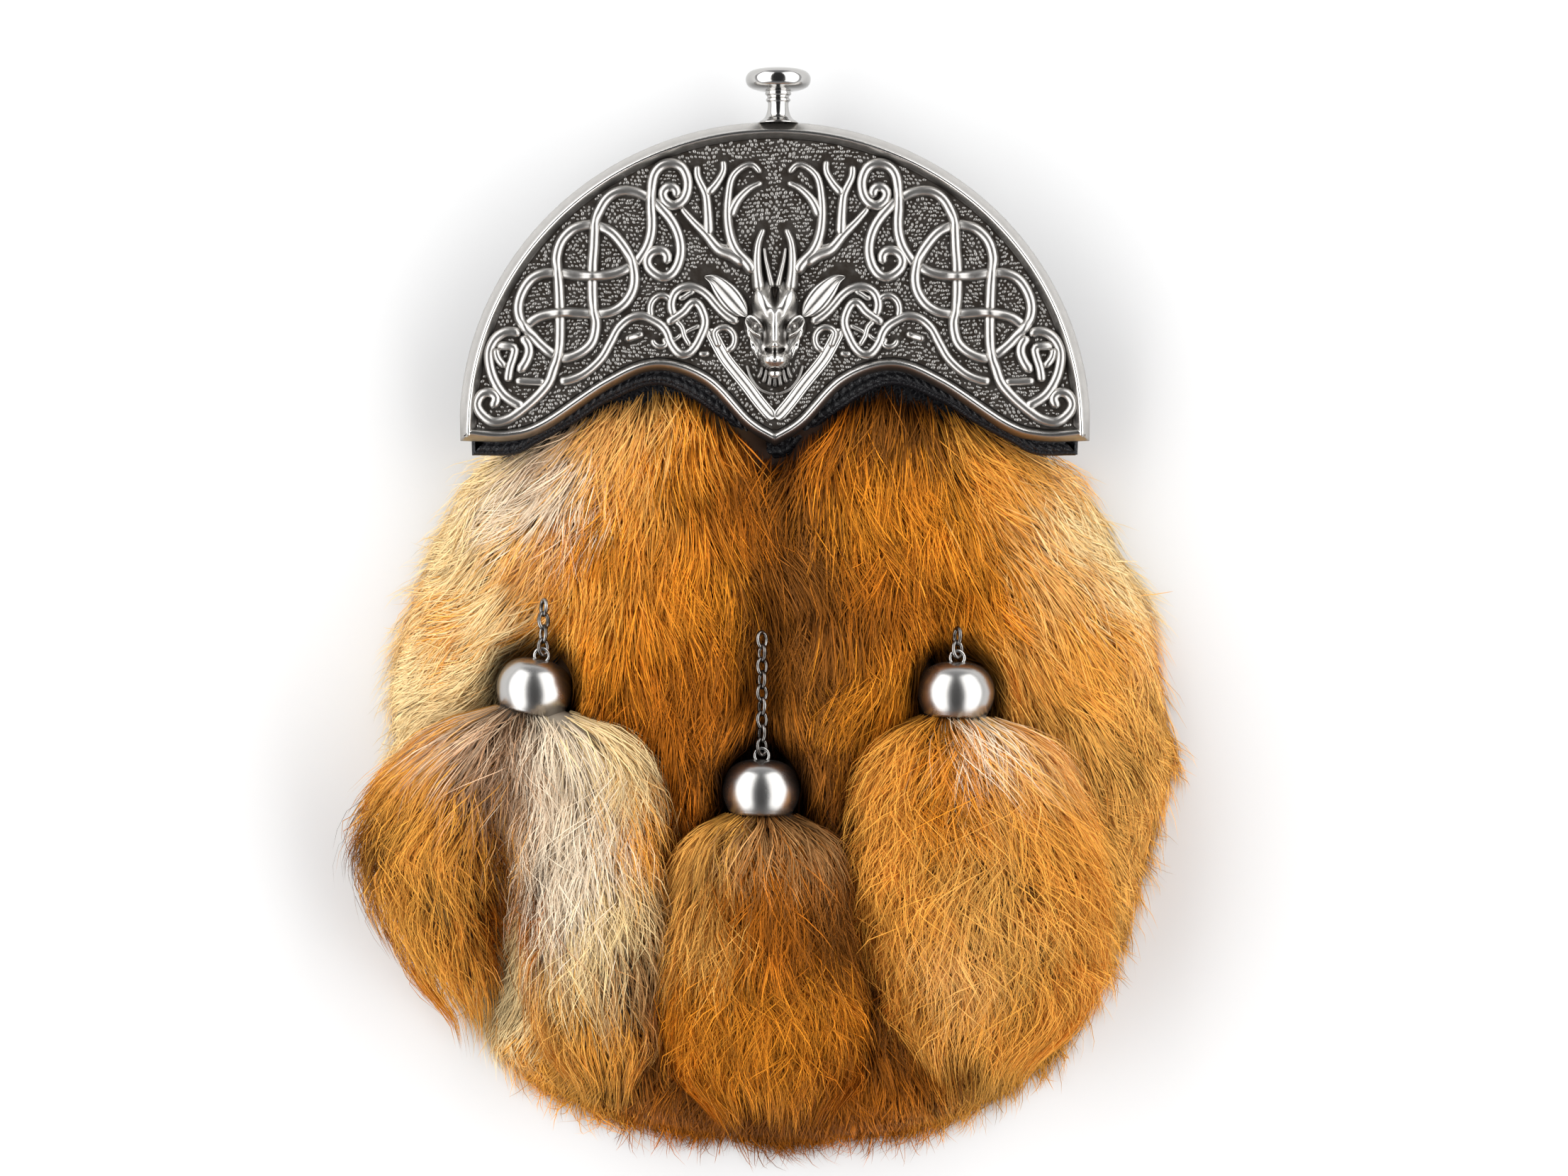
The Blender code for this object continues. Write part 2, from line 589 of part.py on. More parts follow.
def fur_dome(name, collection, lift=0.0, spread=1.0):
    """The fur's form as a closed dome on a flat foot, raised everywhere by lift and widened by spread."""
    bm = bmesh.new()
    edge = FUR_FOOT + FUR_EDGE
    rings = [[bm.verts.new((0, FUR_Y, fur_height(0, FUR_Y) + lift))]]
    for share in FUR_RINGS:
        ring = []
        for i in range(FUR_ANGLES):
            angle = 2 * math.pi * i / FUR_ANGLES
            reach = float(fur_radius(angle)) * share * spread
            x, y = reach * math.cos(angle), FUR_Y + reach * math.sin(angle)
            z = edge if share == 1.0 else max(fur_height(x, y), edge)
            ring.append(bm.verts.new((x, y, z + lift)))
        rings.append(ring)
    rings.append([bm.verts.new((v.co.x * 0.985, FUR_Y + (v.co.y - FUR_Y) * 0.985, FUR_FOOT)) for v in rings[-1]])
    for i in range(FUR_ANGLES):
        j = (i + 1) % FUR_ANGLES
        bm.faces.new([rings[0][0], rings[1][i], rings[1][j]])
        for inner, outer in zip(rings[1:], rings[2:]):
            bm.faces.new([inner[i], outer[i], outer[j], inner[j]])
    bm.faces.new(rings[-1])
    return new_object(name, mesh_from(name, bm), collection)


def lock(name, path, width, thickness, collection):
    """A tapering lock of fur along path: widest a third of the way down, with a pointed tip."""
    path = np.array(path, float)
    bm = bmesh.new()
    rings = []
    for i, point in enumerate(path[:-1]):
        t = i / (len(path) - 1)
        ahead = path[i + 1] - path[max(i - 1, 0)]
        side = np.cross(ahead, (0, 0, 1.0))
        side /= np.linalg.norm(side)
        out = np.cross(side, ahead)
        out /= np.linalg.norm(out)
        share = (0.55 + 1.35 * t) if t < 0.34 else 1.0 * (1 - (t - 0.34) / 0.66) ** 0.7 + 0.02
        half, high = width / 2 * share, thickness / 2 * (share + 0.25)
        corners = [point + side * half, point + out * high, point - side * half, point - out * high]
        rings.append([bm.verts.new(corner) for corner in corners])
    tip = bm.verts.new(path[-1])
    for upper, lower in zip(rings, rings[1:]):
        for i in range(4):
            bm.faces.new([upper[i], upper[(i + 1) % 4], lower[(i + 1) % 4], lower[i]])
    for i in range(4):
        bm.faces.new([rings[-1][i], rings[-1][(i + 1) % 4], tip])
    bm.faces.new(rings[0][::-1])
    return new_object(name, mesh_from(name, bm), collection)


def pouch_locks(collection):
    """Locks over the open face of the pouch and round its hem, falling down and outwards."""
    made = []
    for share, first, last, count, length, width in LOCK_ROWS:
        for degrees in np.linspace(first, last, count):
            angle = math.radians(degrees)
            reach = float(fur_radius(angle)) * share
            root = np.array([reach * math.cos(angle), FUR_Y + reach * math.sin(angle)])
            outward = np.array([math.cos(angle), math.sin(angle)])
            fall = outward * (0.35 + 0.9 * share) + np.array([0.0, -1.0])
            fall /= np.linalg.norm(fall)
            path = []
            for t in np.linspace(0, 1, LOCK_POINTS):
                x, y = root + fall * length * t
                bulge = 3.2 * math.sin(math.pi * min(0.9 * t + 0.1, 0.95)) * (1 - nest(x, y)) - 2.4
                path.append((x, y, max(fur_height(x, y), FUR_FOOT + FUR_EDGE) + bulge))
            made.append(lock(f"lock_{len(made)}", path, width, LOCK_THICKNESS, collection))
    return made


def build_fur(parts, materials):
    fur = thin_out(join(fur_dome("pouch_fur", parts), pouch_locks(parts), parts), KEPT_SHARE["fur"], parts)
    cutters = [
        pouch_space(parts),
        slab("cut_board", half_moon(BOARD_EDGE, BOARD_INSET - 0.5, -5.4) - [0, 0.5], BOARD_Z[0] - 0.4, 70.0, parts),
        slab("cut_top", half_moon(BOARD_EDGE, BOARD_INSET - 3.0, -3.0) + [0, 7.0], -4.0, 70.0, parts),
        slab("cut_floor", [(-140, -160), (140, -160), (140, 140), (-140, 140)], -9.0, 0.3, parts),
    ]
    for name in TASSELS:
        cutters += [chain_channel(name, parts), cap_seat(name, parts)]
    fur = join(fur, cutters, parts, "DIFFERENCE")
    keep_largest(fur.data)
    fur.data.materials.append(materials["fox_fur"])
    return fur


def cap_frame(name):
    """The cap's place: its mouth's centre, and a matrix that turns +Z to the cap's axis."""
    tassel = TASSELS[name]
    x, y = tassel["mouth"]
    turn = Matrix.Rotation(math.radians(tassel["tilt"]), 4, "Z") @ Matrix.Rotation(-math.pi / 2, 4, "X")
    return Matrix.Translation(Vector((x, y, cap_height(name)))) @ turn


def cap_height(name):
    x, y = TASSELS[name]["mouth"]
    highest = max(fur_height(x + dx, y + dy) for dx in (-6, 0, 6) for dy in (0, 6, 12))
    return highest + CAP_LIFT


def build_cap(name, parts, materials):
    inner = [(max(r - CAP_WALL, 0.0), max(z - CAP_WALL, 0.0)) for r, z in CAP_PROFILE[::-1]]
    inner[0] = (CAP_PROFILE[-1][0] - CAP_WALL, 0.0)
    cap = turned(f"cap_{name}", [*CAP_PROFILE, *inner], 12, parts)
    eye_path = [
        (EYE_RADIUS * math.cos(a), 0, CAP_PROFILE[0][1] + EYE_RADIUS - 0.5 + EYE_RADIUS * math.sin(a))
        for a in np.linspace(-math.pi / 2 + 0.1, 1.5 * math.pi - 0.1, 9)
    ]
    eye = tube(f"eye_{name}", eye_path, 0.45, parts)
    place = cap_frame(name)
    place.translation *= MM
    cap = join(cap, [eye], parts)
    cap.data.transform(place)
    cap.data.materials.append(materials["bright_metal"])
    return cap


def chain_pitch():
    return 2 * (LINK_HALF_LENGTH - LINK_WIRE) + LINK_BITE


def chain_line(name):
    """Centres of the chain's links, from the cap's eye upwards over the fur."""
    tassel = TASSELS[name]
    eye = cap_frame(name) @ Vector((0, 0, CAP_PROFILE[0][1] + 2 * EYE_RADIUS - 0.5))
    # the first link hangs in the eye with a little play
    y = eye.y + LINK_HALF_LENGTH - 2 * LINK_WIRE - 0.45 - GAP
    centres = []
    x, z = eye.x, eye.z
    for _ in range(tassel["links"]):
        centres.append(Vector((x, y, z)))
        y += chain_pitch() * 0.985
        rest = max(fur_height(x + dx, y + dy) for dx in (-3, 0, 3) for dy in (-3, 0, 3)) + LINK_HALF_WIDTH + 1.0
        z += np.clip(rest - z, -0.8, 0.8)
    return centres


def build_chain(name, parts, materials):
    """Oval links, each turned a quarter about the chain's line from the last."""
    centres = chain_line(name)
    links = []
    for i, centre in enumerate(centres):
        ahead = (centres[min(i + 1, len(centres) - 1)] - centres[max(i - 1, 0)]).normalized()
        turn = Matrix.Rotation(math.radians(90 * ((i + 1) % 2)), 3, ahead)
        flat = turn @ ahead.cross(Vector((0, 0, 1))).normalized()
        path = []
        for a in np.linspace(0, 2 * math.pi, 11):
            path.append(centre + ahead * LINK_HALF_LENGTH * math.cos(a) + flat * LINK_HALF_WIDTH * math.sin(a))
        links.append(ring(f"link_{name}_{i}", path[:-1], LINK_WIRE, parts))
    chain = join(links[0], links[1:], parts)
    chain.name = f"chain_{name}"
    chain.data.materials.append(materials["antique_metal"])
    return chain


def ring(name, loop, wire, collection):
    """A closed loop of wire with five sides."""
    bm = bmesh.new()
    loop = [Vector(p) for p in loop]
    middle = sum(loop, Vector()) / len(loop)
    across = (loop[1] - loop[0]).cross(loop[3] - loop[0]).normalized()
    rings = []
    for i, point in enumerate(loop):
        ahead = (loop[(i + 1) % len(loop)] - loop[i - 1]).normalized()
        out = ahead.cross(across).normalized()
        if out.dot(point - middle) < 0:
            out = -out
        corners = [
            point + wire * (out * math.cos(a) + across * math.sin(a))
            for a in np.linspace(0, 2 * math.pi, 6)[:-1]
        ]
        rings.append([bm.verts.new(corner) for corner in corners])
    for i, here in enumerate(rings):
        ahead = rings[(i + 1) % len(rings)]
        for j in range(5):
            k = (j + 1) % 5
            bm.faces.new([here[j], ahead[j], ahead[k], here[k]])
    return new_object(name, mesh_from(name, bm), collection)


def chain_channel(name, collection):
    """A groove that the fur leaves for the chain."""
    centres = chain_line(name)
    path = [centres[0] - Vector((0, 5, 0)), *centres, centres[-1] + Vector((0, 2.2, 0))]
    return tube(f"channel_{name}", path, LINK_HALF_WIDTH + LINK_WIRE + 0.5, collection, sides=8)


def cap_seat(name, collection):
    """The hollow that the fur leaves for the cap and its eye."""
    eye_top = CAP_PROFILE[0][1] + 2 * EYE_RADIUS + 0.6
    widest = max(r for r, _ in CAP_PROFILE) + 0.7
    profile = [(0.0, eye_top), (3.2, eye_top), (7.6, 11.0), (widest, 7.0), (widest, -0.8), (0.0, -0.8)]
    seat = turned(f"seat_{name}", profile, 14, collection)
    place = cap_frame(name)
    place.translation *= MM
    seat.data.transform(place)
    return seat


def lobe_height(x, y, half_depth):
    """Height of a lobe's centre line at (x, y), bedded in the fur or on the floor."""
    return max(fur_height(x, y) + half_depth * LOBE_BED, half_depth + 1.0)


def tassel_lobe(name, rows, collection, cap_z):
    """One lobe of a tassel: elliptical sections along the lobe, from inside the cap down to the hem."""
    bm = bmesh.new()
    rings = []
    for i, (y, x, half_width, half_depth) in enumerate(rows):
        z = cap_z if i == 0 else lobe_height(x, y, half_depth)
        if i == 1:
            z = 0.5 * (z + cap_z)
        angles = np.linspace(0, 2 * math.pi, LOBE_SIDES + 1)[:-1]
        rings.append([
            bm.verts.new((x + half_width * math.cos(a), y, z + half_depth * math.sin(a))) for a in angles
        ])
    for upper, lower in zip(rings, rings[1:]):
        for i in range(LOBE_SIDES):
            j = (i + 1) % LOBE_SIDES
            bm.faces.new([upper[i], lower[i], lower[j], upper[j]])
    bm.faces.new(rings[0])
    bm.faces.new(rings[-1][::-1])
    return new_object(name, mesh_from(name, bm), collection)


def tassel_locks(name, rows, collection):
    """Locks that hang round a lobe in two rows, with their tips below its hem."""
    made = []
    for row, (start, length, count, turn) in enumerate(STRIP_ROWS):
        y0 = rows[0][0] + (rows[-1][0] - rows[0][0]) * start
        for i in range(count):
            angle = math.radians(-8 + 196 * (i + turn) / (count - 0.3))
            path = []
            for t in np.linspace(0, 1, LOCK_POINTS):
                y = y0 - length * t
                x, half_width, half_depth = through_table(rows, max(y, rows[-1][0]))
                z = lobe_height(x, y, half_depth)
                swell = 0.80 + 0.19 * math.sin(math.pi * min(0.8 * t, 1.0))
                path.append((x + half_width * swell * math.cos(angle), y, z + half_depth * swell * math.sin(angle)))
            made.append(lock(f"{name}_{row}_{i}", path, max(rows[3][2] * 0.62, 9.0), STRIP_THICKNESS, collection))
    return made


def build_tassel(name, parts):
    pieces = []
    for i, rows in enumerate(TASSELS[name]["lobes"]):
        pieces.append(tassel_lobe(f"lobe_{name}_{i}", rows, parts, cap_height(name)))
        pieces += tassel_locks(f"strip_{name}_{i}", rows, parts)
    return thin_out(join(pieces[0], pieces[1:], parts), KEPT_SHARE["tassel"], parts)


def cap_keepout(name, collection):
    """The space that a cap takes: its wall and a gap, open where the tassel's neck goes in."""
    outer = [(r + 0.5 if r else 0.0, z + 0.5) for r, z in CAP_PROFILE[:-1]] + [(CAP_PROFILE[-1][0] + 2.6, 0.5)]
    floor = [(CAP_PROFILE[-1][0] + 2.6, -0.4), (CAP_PROFILE[-1][0] - CAP_WALL - 0.4, -0.4)]
    inner = [(CAP_PROFILE[-1][0] - CAP_WALL - 0.4, 3.0), (0.0, 3.0)]
    body = turned(f"keep_{name}", [*outer, *floor, *inner], 16, collection)
    place = cap_frame(name)
    place.translation *= MM
    body.data.transform(place)
    return body


def build_tassels(parts, materials):
    shades = {"left": "brown_fur", "center": "brown_fur", "right": "fox_fur"}
    made = {name: build_tassel(name, parts) for name in TASSELS}
    for name, tassel in made.items():
        cutters = [fur_dome(f"under_{name}", parts, UNDER_LIFT, UNDER_SPREAD), cap_keepout(name, parts)]
        tassel = join(tassel, cutters, parts, "DIFFERENCE")
        keep_largest(tassel.data)
        tassel.name = f"tassel_{name}"
        tassel.data.materials.append(materials[shades[name]])


def build_strap_loop(name, x, parts, materials):
    """A bail of wire behind the board: two legs and a bar across."""
    top, low = BOARD_Z[0] - GAP, BOARD_Z[0] - LOOP_DROP
    corner = 2.5
    path = [(x - LOOP_HALF_WIDTH, LOOP_Y, top)]
    for a in np.linspace(0, math.pi / 2, 4):
        path.append((
            x - LOOP_HALF_WIDTH + corner * (1 - math.cos(a)), LOOP_Y, low + corner * (1 - math.sin(a)),
        ))
    path += [(2 * x - px, py, pz) for px, py, pz in path[::-1]]
    loop = tube(f"strap_loop_{name}", path, LOOP_WIRE, parts, sides=8)
    loop.data.materials.append(materials["bright_metal"])
    return loop


def main():
    clear_scene()
    materials = make_materials()
    parts = bpy.data.collections.new("sporran")
    bpy.context.scene.collection.children.link(parts)
    build_cantle(parts, materials)
    build_board(parts, materials)
    build_knob(parts, materials)
    build_pouch_front(parts, materials)
    build_pouch_back(parts, materials)
    build_fur(parts, materials)
    build_tassels(parts, materials)
    for name in TASSELS:
        build_cap(name, parts, materials)
        build_chain(name, parts, materials)
    build_strap_loop("left", -LOOP_X, parts, materials)
    build_strap_loop("right", LOOP_X, parts, materials)


main()
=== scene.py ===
import math

import bpy
import numpy as np
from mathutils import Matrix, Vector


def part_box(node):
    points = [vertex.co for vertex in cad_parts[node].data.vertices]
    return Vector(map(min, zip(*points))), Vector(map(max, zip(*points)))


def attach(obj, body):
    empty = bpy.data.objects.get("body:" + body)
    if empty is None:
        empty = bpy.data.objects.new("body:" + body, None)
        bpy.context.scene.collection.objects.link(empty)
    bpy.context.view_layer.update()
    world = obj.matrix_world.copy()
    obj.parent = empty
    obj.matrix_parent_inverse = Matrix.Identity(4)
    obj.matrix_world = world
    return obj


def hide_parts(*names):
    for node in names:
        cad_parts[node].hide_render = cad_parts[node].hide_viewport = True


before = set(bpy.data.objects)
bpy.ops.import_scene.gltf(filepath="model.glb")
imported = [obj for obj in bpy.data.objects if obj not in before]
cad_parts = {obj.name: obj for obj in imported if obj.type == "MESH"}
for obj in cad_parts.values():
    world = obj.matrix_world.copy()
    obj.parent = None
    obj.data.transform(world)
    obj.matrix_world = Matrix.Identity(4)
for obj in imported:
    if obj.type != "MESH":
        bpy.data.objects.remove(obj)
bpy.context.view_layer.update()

mm = 0.001
fineness = 1.0
moonY = 47.3  # height along y of the centre of the cantle's and the board's ellipse


def unit(v):
    # Vectors of length one.
    return v / np.maximum(np.linalg.norm(v, axis=-1, keepdims=True), 1e-9)


def smoothStep(low, high, x):
    # 0 below low, 1 above high, and 3 t^2 - 2 t^3 between them.
    t = np.clip((x - low) / (high - low), 0, 1)
    return t * t * (3 - 2 * t)


def waves(x, y, size, seed, count=7):
    # Soft noise between -1 and 1: a sum of plane waves about as long as size, in random directions.
    dice = np.random.default_rng(seed)
    turn, phase = dice.uniform(0, 2 * np.pi, (2, count))
    pitch = 2 * np.pi / (size * dice.uniform(0.6, 1.6, count))
    total = np.zeros(np.shape(x))
    for k in range(count):
        total = total + np.sin((x * np.cos(turn[k]) + y * np.sin(turn[k])) * pitch[k] + phase[k])
    return total / count**0.5 / 1.2


def roundTurn(count):
    # Angles in radians, evenly round a circle.
    return np.linspace(0, 2 * np.pi, count, endpoint=False)


def travelled(path):
    # The distance gone along a path at each of its points.
    return np.append(0, np.cumsum(np.linalg.norm(np.diff(path, axis=0), axis=1)))


def evenly(path, count):
    # The same curve as count points, evenly spaced.
    along = travelled(path)
    even = np.linspace(0, along[-1], count)
    return np.column_stack([np.interp(even, along, column) for column in path.T])


def smoothPath(points, step):
    # A Catmull-Rom curve through the points: each stretch is a cubic whose slope at a point is half the way
    # between its neighbours. The result is spaced evenly, about a step apart.
    p = np.array(points, float)
    ends = np.vstack([2 * p[0] - p[1], p, 2 * p[-1] - p[-2]])
    t = np.linspace(0, 1, 25)[:-1][None, :, None]
    a, b, c, d = (ends[i:len(ends) - 3 + i][:, None, :] for i in range(4))
    fine = 0.5 * (2 * b + (c - a) * t + (2 * a - 5 * b + 4 * c - d) * t**2 + (3 * b - a - 3 * c + d) * t**3)
    fine = np.vstack([fine.reshape(-1, p.shape[1]), p[-1:]])
    return evenly(fine, max(2, round(travelled(fine)[-1] / step)) + 1)


def throughTable(rows, at):
    # Each column of a table of sections, read smoothly at the given values of its first column.
    path = smoothPath(sorted(rows), 0.4)
    return [np.interp(at, path[:, 0], column) for column in path.T[1:]]


def aroundTable(rows, angle):
    # A table by angle, read smoothly all the way round.
    table = np.array(rows, float)
    path = smoothPath(np.vstack([table[-3:] - [360, 0], table, table[:3] + [360, 0]]), 1.0)
    return np.interp(np.degrees(angle) % 360, path[:, 0], path[:, 1])


def gridFaces(rows, columns, wrapRows=False, wrapColumns=False, start=0):
    # Quads over a grid of points stored row by row. A wrapped side meets its other end.
    number = np.arange(rows * columns).reshape(rows, columns) + start
    if wrapRows:
        number = np.vstack([number, number[:1]])
    if wrapColumns:
        number = np.column_stack([number, number[:, :1]])
    a, b, c, d = number[:-1, :-1], number[:-1, 1:], number[1:, 1:], number[1:, :-1]
    return np.stack([a, b, c, d], -1).reshape(-1, 4)


def inScene(name, data):
    # An object in the scene that holds a mesh, a lamp or a camera.
    made = bpy.data.objects.new(name, data)
    bpy.context.scene.collection.objects.link(made)
    return made


def meshObject(name, points, quads, tris, material, colours=None, wornAndSheen=None, uv=None):
    # An object from whole arrays: points (n, 3) in m, faces by vertex number, and values by point.
    quads = np.asarray(quads, np.int32).reshape(-1, 4)
    tris = np.asarray(tris, np.int32).reshape(-1, 3)
    corners = np.concatenate([quads.ravel(), tris.ravel()])
    starts = np.concatenate([np.arange(len(quads)) * 4, quads.size + np.arange(len(tris)) * 3])
    mesh = bpy.data.meshes.new(name)
    mesh.vertices.add(len(points))
    mesh.loops.add(len(corners))
    mesh.polygons.add(len(starts))
    mesh.vertices.foreach_set("co", np.asarray(points, np.float32).ravel())
    mesh.loops.foreach_set("vertex_index", corners.astype(np.int32))
    mesh.polygons.foreach_set("loop_start", starts.astype(np.int32))
    mesh.polygons.foreach_set("use_smooth", np.ones(len(starts), bool))
    mesh.update(calc_edges=True)
    if colours is not None:
        colours = np.column_stack([colours, np.ones(len(points))]).astype(np.float32)
        mesh.attributes.new("coat", "FLOAT_COLOR", "POINT").data.foreach_set("color", colours.ravel())
    if wornAndSheen is not None:
        mesh.attributes.new("wornAndSheen", "FLOAT", "POINT").data.foreach_set("value", np.asarray(wornAndSheen, np.float32))
    if uv is not None:
        mesh.uv_layers.new(name="OFBake").data.foreach_set("uv", np.asarray(uv, np.float32)[corners].ravel())
    mesh.materials.append(material)
    return inScene(name, mesh)


def place(made, node):
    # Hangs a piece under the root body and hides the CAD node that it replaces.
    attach(made, "root")
    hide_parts(node)


noTriangles = np.empty((0, 3), int)


def merged(name, parts, material, node):
    # One piece from parts of (points in mm, quads, triangles, mask of wear, with painted highlight on the
    # bars).
    first = np.cumsum([0] + [len(p[0]) for p in parts])
    quads = np.vstack([np.asarray(p[1], int).reshape(-1, 4) + n for p, n in zip(parts, first)])
    tris = np.vstack([np.asarray(p[2], int).reshape(-1, 3) + n for p, n in zip(parts, first)])
    wornAndSheen = np.concatenate([np.broadcast_to(p[3], len(p[0])) for p in parts])
    made = meshObject(name, np.vstack([p[0] for p in parts]) * mm, quads, tris, material, wornAndSheen=wornAndSheen)
    place(made, node)
    return made


def feed(tree, node, values):
    # Fills a node's inputs: a socket is linked, and anything else is set as a value.
    for key, value in values.items():
        if isinstance(value, bpy.types.NodeSocket):
            tree.links.new(value, node.inputs[key])
        else:
            node.inputs[key].default_value = value
    return node


def addNode(tree, kind, values=None, **settings):
    # A new node with its settings and its inputs.
    node = tree.nodes.new(kind)
    for key, value in settings.items():
        setattr(node, key, value)
    return feed(tree, node, values or {})


def newMaterial(name, values):
    # A material, its tree and its shader, with values on the shader's own sockets.
    material = bpy.data.materials.new(name)
    material.use_nodes = True
    tree = material.node_tree
    return material, tree, feed(tree, tree.nodes["Principled BSDF"], values)


view = {
    "centre": (2.2, 8.6), "height": 28.0,  # the point that the camera looks at, in mm
    "distance": 1100.0, "frameWidth": 376.0,  # width of the picture at that height
    "floorSize": 6.0, "floorColour": (0.76, 0.76, 0.76, 1), "floorRoughness": 0.8,
    "worldColour": (0.96, 0.97, 1.0, 1), "horizon": 0.62, "zenith": 0.04, "zenithFrom": 0.7,
}
softboxes = {  # name: place in m, width, length, watts
    "left": ((-1.11, 0.12, 0.88), 1.42, 4.0, 52.0),
    "right": ((1.11, 0.12, 0.88), 1.42, 4.0, 48.5),
}


def makeStage():
    # A camera straight above, a long softbox at each side, a sky that is bright round the horizon and dark
    # overhead, and a white table.
    scene = bpy.context.scene
    camera = bpy.data.cameras.new("camera")
    camera.sensor_width = 36.0
    camera.lens = camera.sensor_width * view["distance"] / view["frameWidth"]
    camera.clip_end = 20.0
    scene.camera = inScene("camera", camera)
    x, y = view["centre"]
    scene.camera.location = (x * mm, y * mm, (view["height"] + view["distance"]) * mm)
    for name, (spot, width, length, watts) in softboxes.items():
        lamp = bpy.data.lights.new(f"softbox_{name}", "AREA")
        lamp.shape = "RECTANGLE"
        lamp.size, lamp.size_y, lamp.energy = length, width, watts
        box = inScene(f"softbox_{name}", lamp)
        box.location = spot
        box.rotation_euler = (-box.location).to_track_quat("-Z", "Y").to_euler()
        box.visible_camera = False
    scene.world = bpy.data.worlds.new("studio")
    scene.world.use_nodes = True
    tree = scene.world.node_tree
    direction = addNode(tree, "ShaderNodeTexCoord").outputs["Generated"]
    split = addNode(tree, "ShaderNodeSeparateXYZ", {0: direction})
    fade = addNode(tree, "ShaderNodeMapRange", {
        "Value": split.outputs["Z"], "From Min": 0.0, "From Max": view["zenithFrom"],
        "To Min": view["horizon"], "To Max": view["zenith"],
    })
    feed(tree, tree.nodes["Background"], {"Color": view["worldColour"], "Strength": fade.outputs["Result"]})
    scene.view_settings.view_transform = "Standard"
    finish = {"Base Color": view["floorColour"], "Roughness": view["floorRoughness"]}
    paper = newMaterial("white_table", finish)[0]
    corners = np.array([(-1, -1, 0), (1, -1, 0), (1, 1, 0), (-1, 1, 0)]) * view["floorSize"] / 2
    meshObject("floor", corners, [(0, 1, 2, 3)], (), paper)


makeStage()
print("stage: camera, softboxes and table")


pouch = {
    "sections": [  # (along y, half width, depth) of the leather
        (80, 52, 13.2), (40, 67, 15.0), (26, 71, 19.0), (0, 77, 25.0), (-32, 80, 28.0), (-66, 73, 25.5),
        (-94, 55, 18.0), (-111, 20, 8.0),
    ],
    "sideCurve": 0.62, "crownCurve": 0.72,
    "furY": -30.0, "furHeight": 43.0, "overLeather": 3.5,
    "fullness": (2.6, 1.1, 60.0),  # the crown's power, how much it drops above the middle, and over how far
    "outline": [  # (degrees from +X, radius) of the fur
        (0, 92), (25, 94), (45, 103), (60, 106), (90, 105), (120, 106), (135, 102), (155, 91), (180, 88),
        (205, 93), (235, 97), (270, 92), (305, 97), (335, 93),
    ],
    "swell": [  # (degrees from +X, share of the radius) out to which the hair stands
        (0, 1.045), (10, 1.035), (22, 1.03), (35, 0.985), (60, 0.965), (120, 0.965), (144, 1.0), (157, 1.04),
        (170, 1.06), (182, 1.045), (200, 1.0), (220, 1.005), (230, 1.035), (248, 1.025), (270, 1.045),
        (290, 1.045), (304, 1.045), (320, 1.04), (333, 1.025), (343, 1.02), (352, 1.035),
    ],
    "nestDepth": 9.0, "ring": (15.5, 4.0, 6.5),  # radius, width and height of the ring of fur round a cap
    "partings": [  # (x, top, foot, depth, width)
        (1.5, 44, 0, 5.0, 4.0), (-54.0, 20, -12, 4.0, 5.0), (56.0, 34, 4, 3.0, 6.0),
    ],
}
tassels = {
    "left": {
        "mouth": (-58.4, -21.2), "tilt": -12.0, "links": 4,
        "lobes": [  # (along y, centre x, half width, half depth)
            [(-22, -57.6, 6.5, 6.5), (-27, -60.0, 11.0, 8.0), (-40, -69.0, 19.0, 11.0),
             (-58, -78.0, 19.5, 12.0), (-76, -77.0, 15.5, 10.0), (-90, -73.0, 11.0, 7.0)],
            [(-22, -57.0, 6.5, 6.5), (-27, -54.0, 10.0, 8.5), (-42, -46.0, 16.0, 12.0),
             (-64, -43.0, 15.0, 13.0), (-88, -43.0, 14.5, 12.0), (-106, -43.0, 12.0, 8.0)],
        ],
    },
    "center": {
        "mouth": (-3.3, -45.0), "tilt": -1.0, "links": 9,
        "lobes": [
            [(-45, -2.4, 6.5, 6.5), (-50, -2.6, 12.5, 8.5), (-62, -3.4, 18.0, 11.5), (-82, -3.4, 21.0, 13.0),
             (-102, -2.6, 22.0, 11.0), (-115, -2.0, 19.0, 7.5)],
        ],
    },
    "right": {
        "mouth": (42.8, -22.0), "tilt": -2.0, "links": 2,
        "lobes": [
            [(-22, 43.4, 6.5, 6.5), (-27, 43.0, 13.0, 8.5), (-40, 43.4, 22.0, 12.0), (-62, 47.0, 27.0, 14.0),
             (-82, 51.0, 26.0, 13.0), (-100, 51.0, 20.0, 9.0)],
        ],
    },
}
link = {
    "halfLength": 1.9, "halfWidth": 1.25, "wire": 0.4, "shownWire": 0.52, "bite": 0.2, "gap": 0.3,
    "twists": (-34, 58),  # degrees about the chain's line, by turns
}
linkPitch = 2 * (link["halfLength"] - link["wire"]) + link["bite"]


def furRadius(angle):
    # The solid fur's outline: its radius in a direction.
    return aroundTable(pouch["outline"], angle)


def hairRadius(angle):
    # The outline out to which the hair stands: the fur's radius times its swell.
    return furRadius(angle) * aroundTable(pouch["swell"], angle)


def outlineShare(x, y, radius):
    # Distance from the fur's middle, as a share of an outline's radius in that direction.
    dy = y - pouch["furY"]
    return np.hypot(x, dy) / radius(np.arctan2(dy, x))


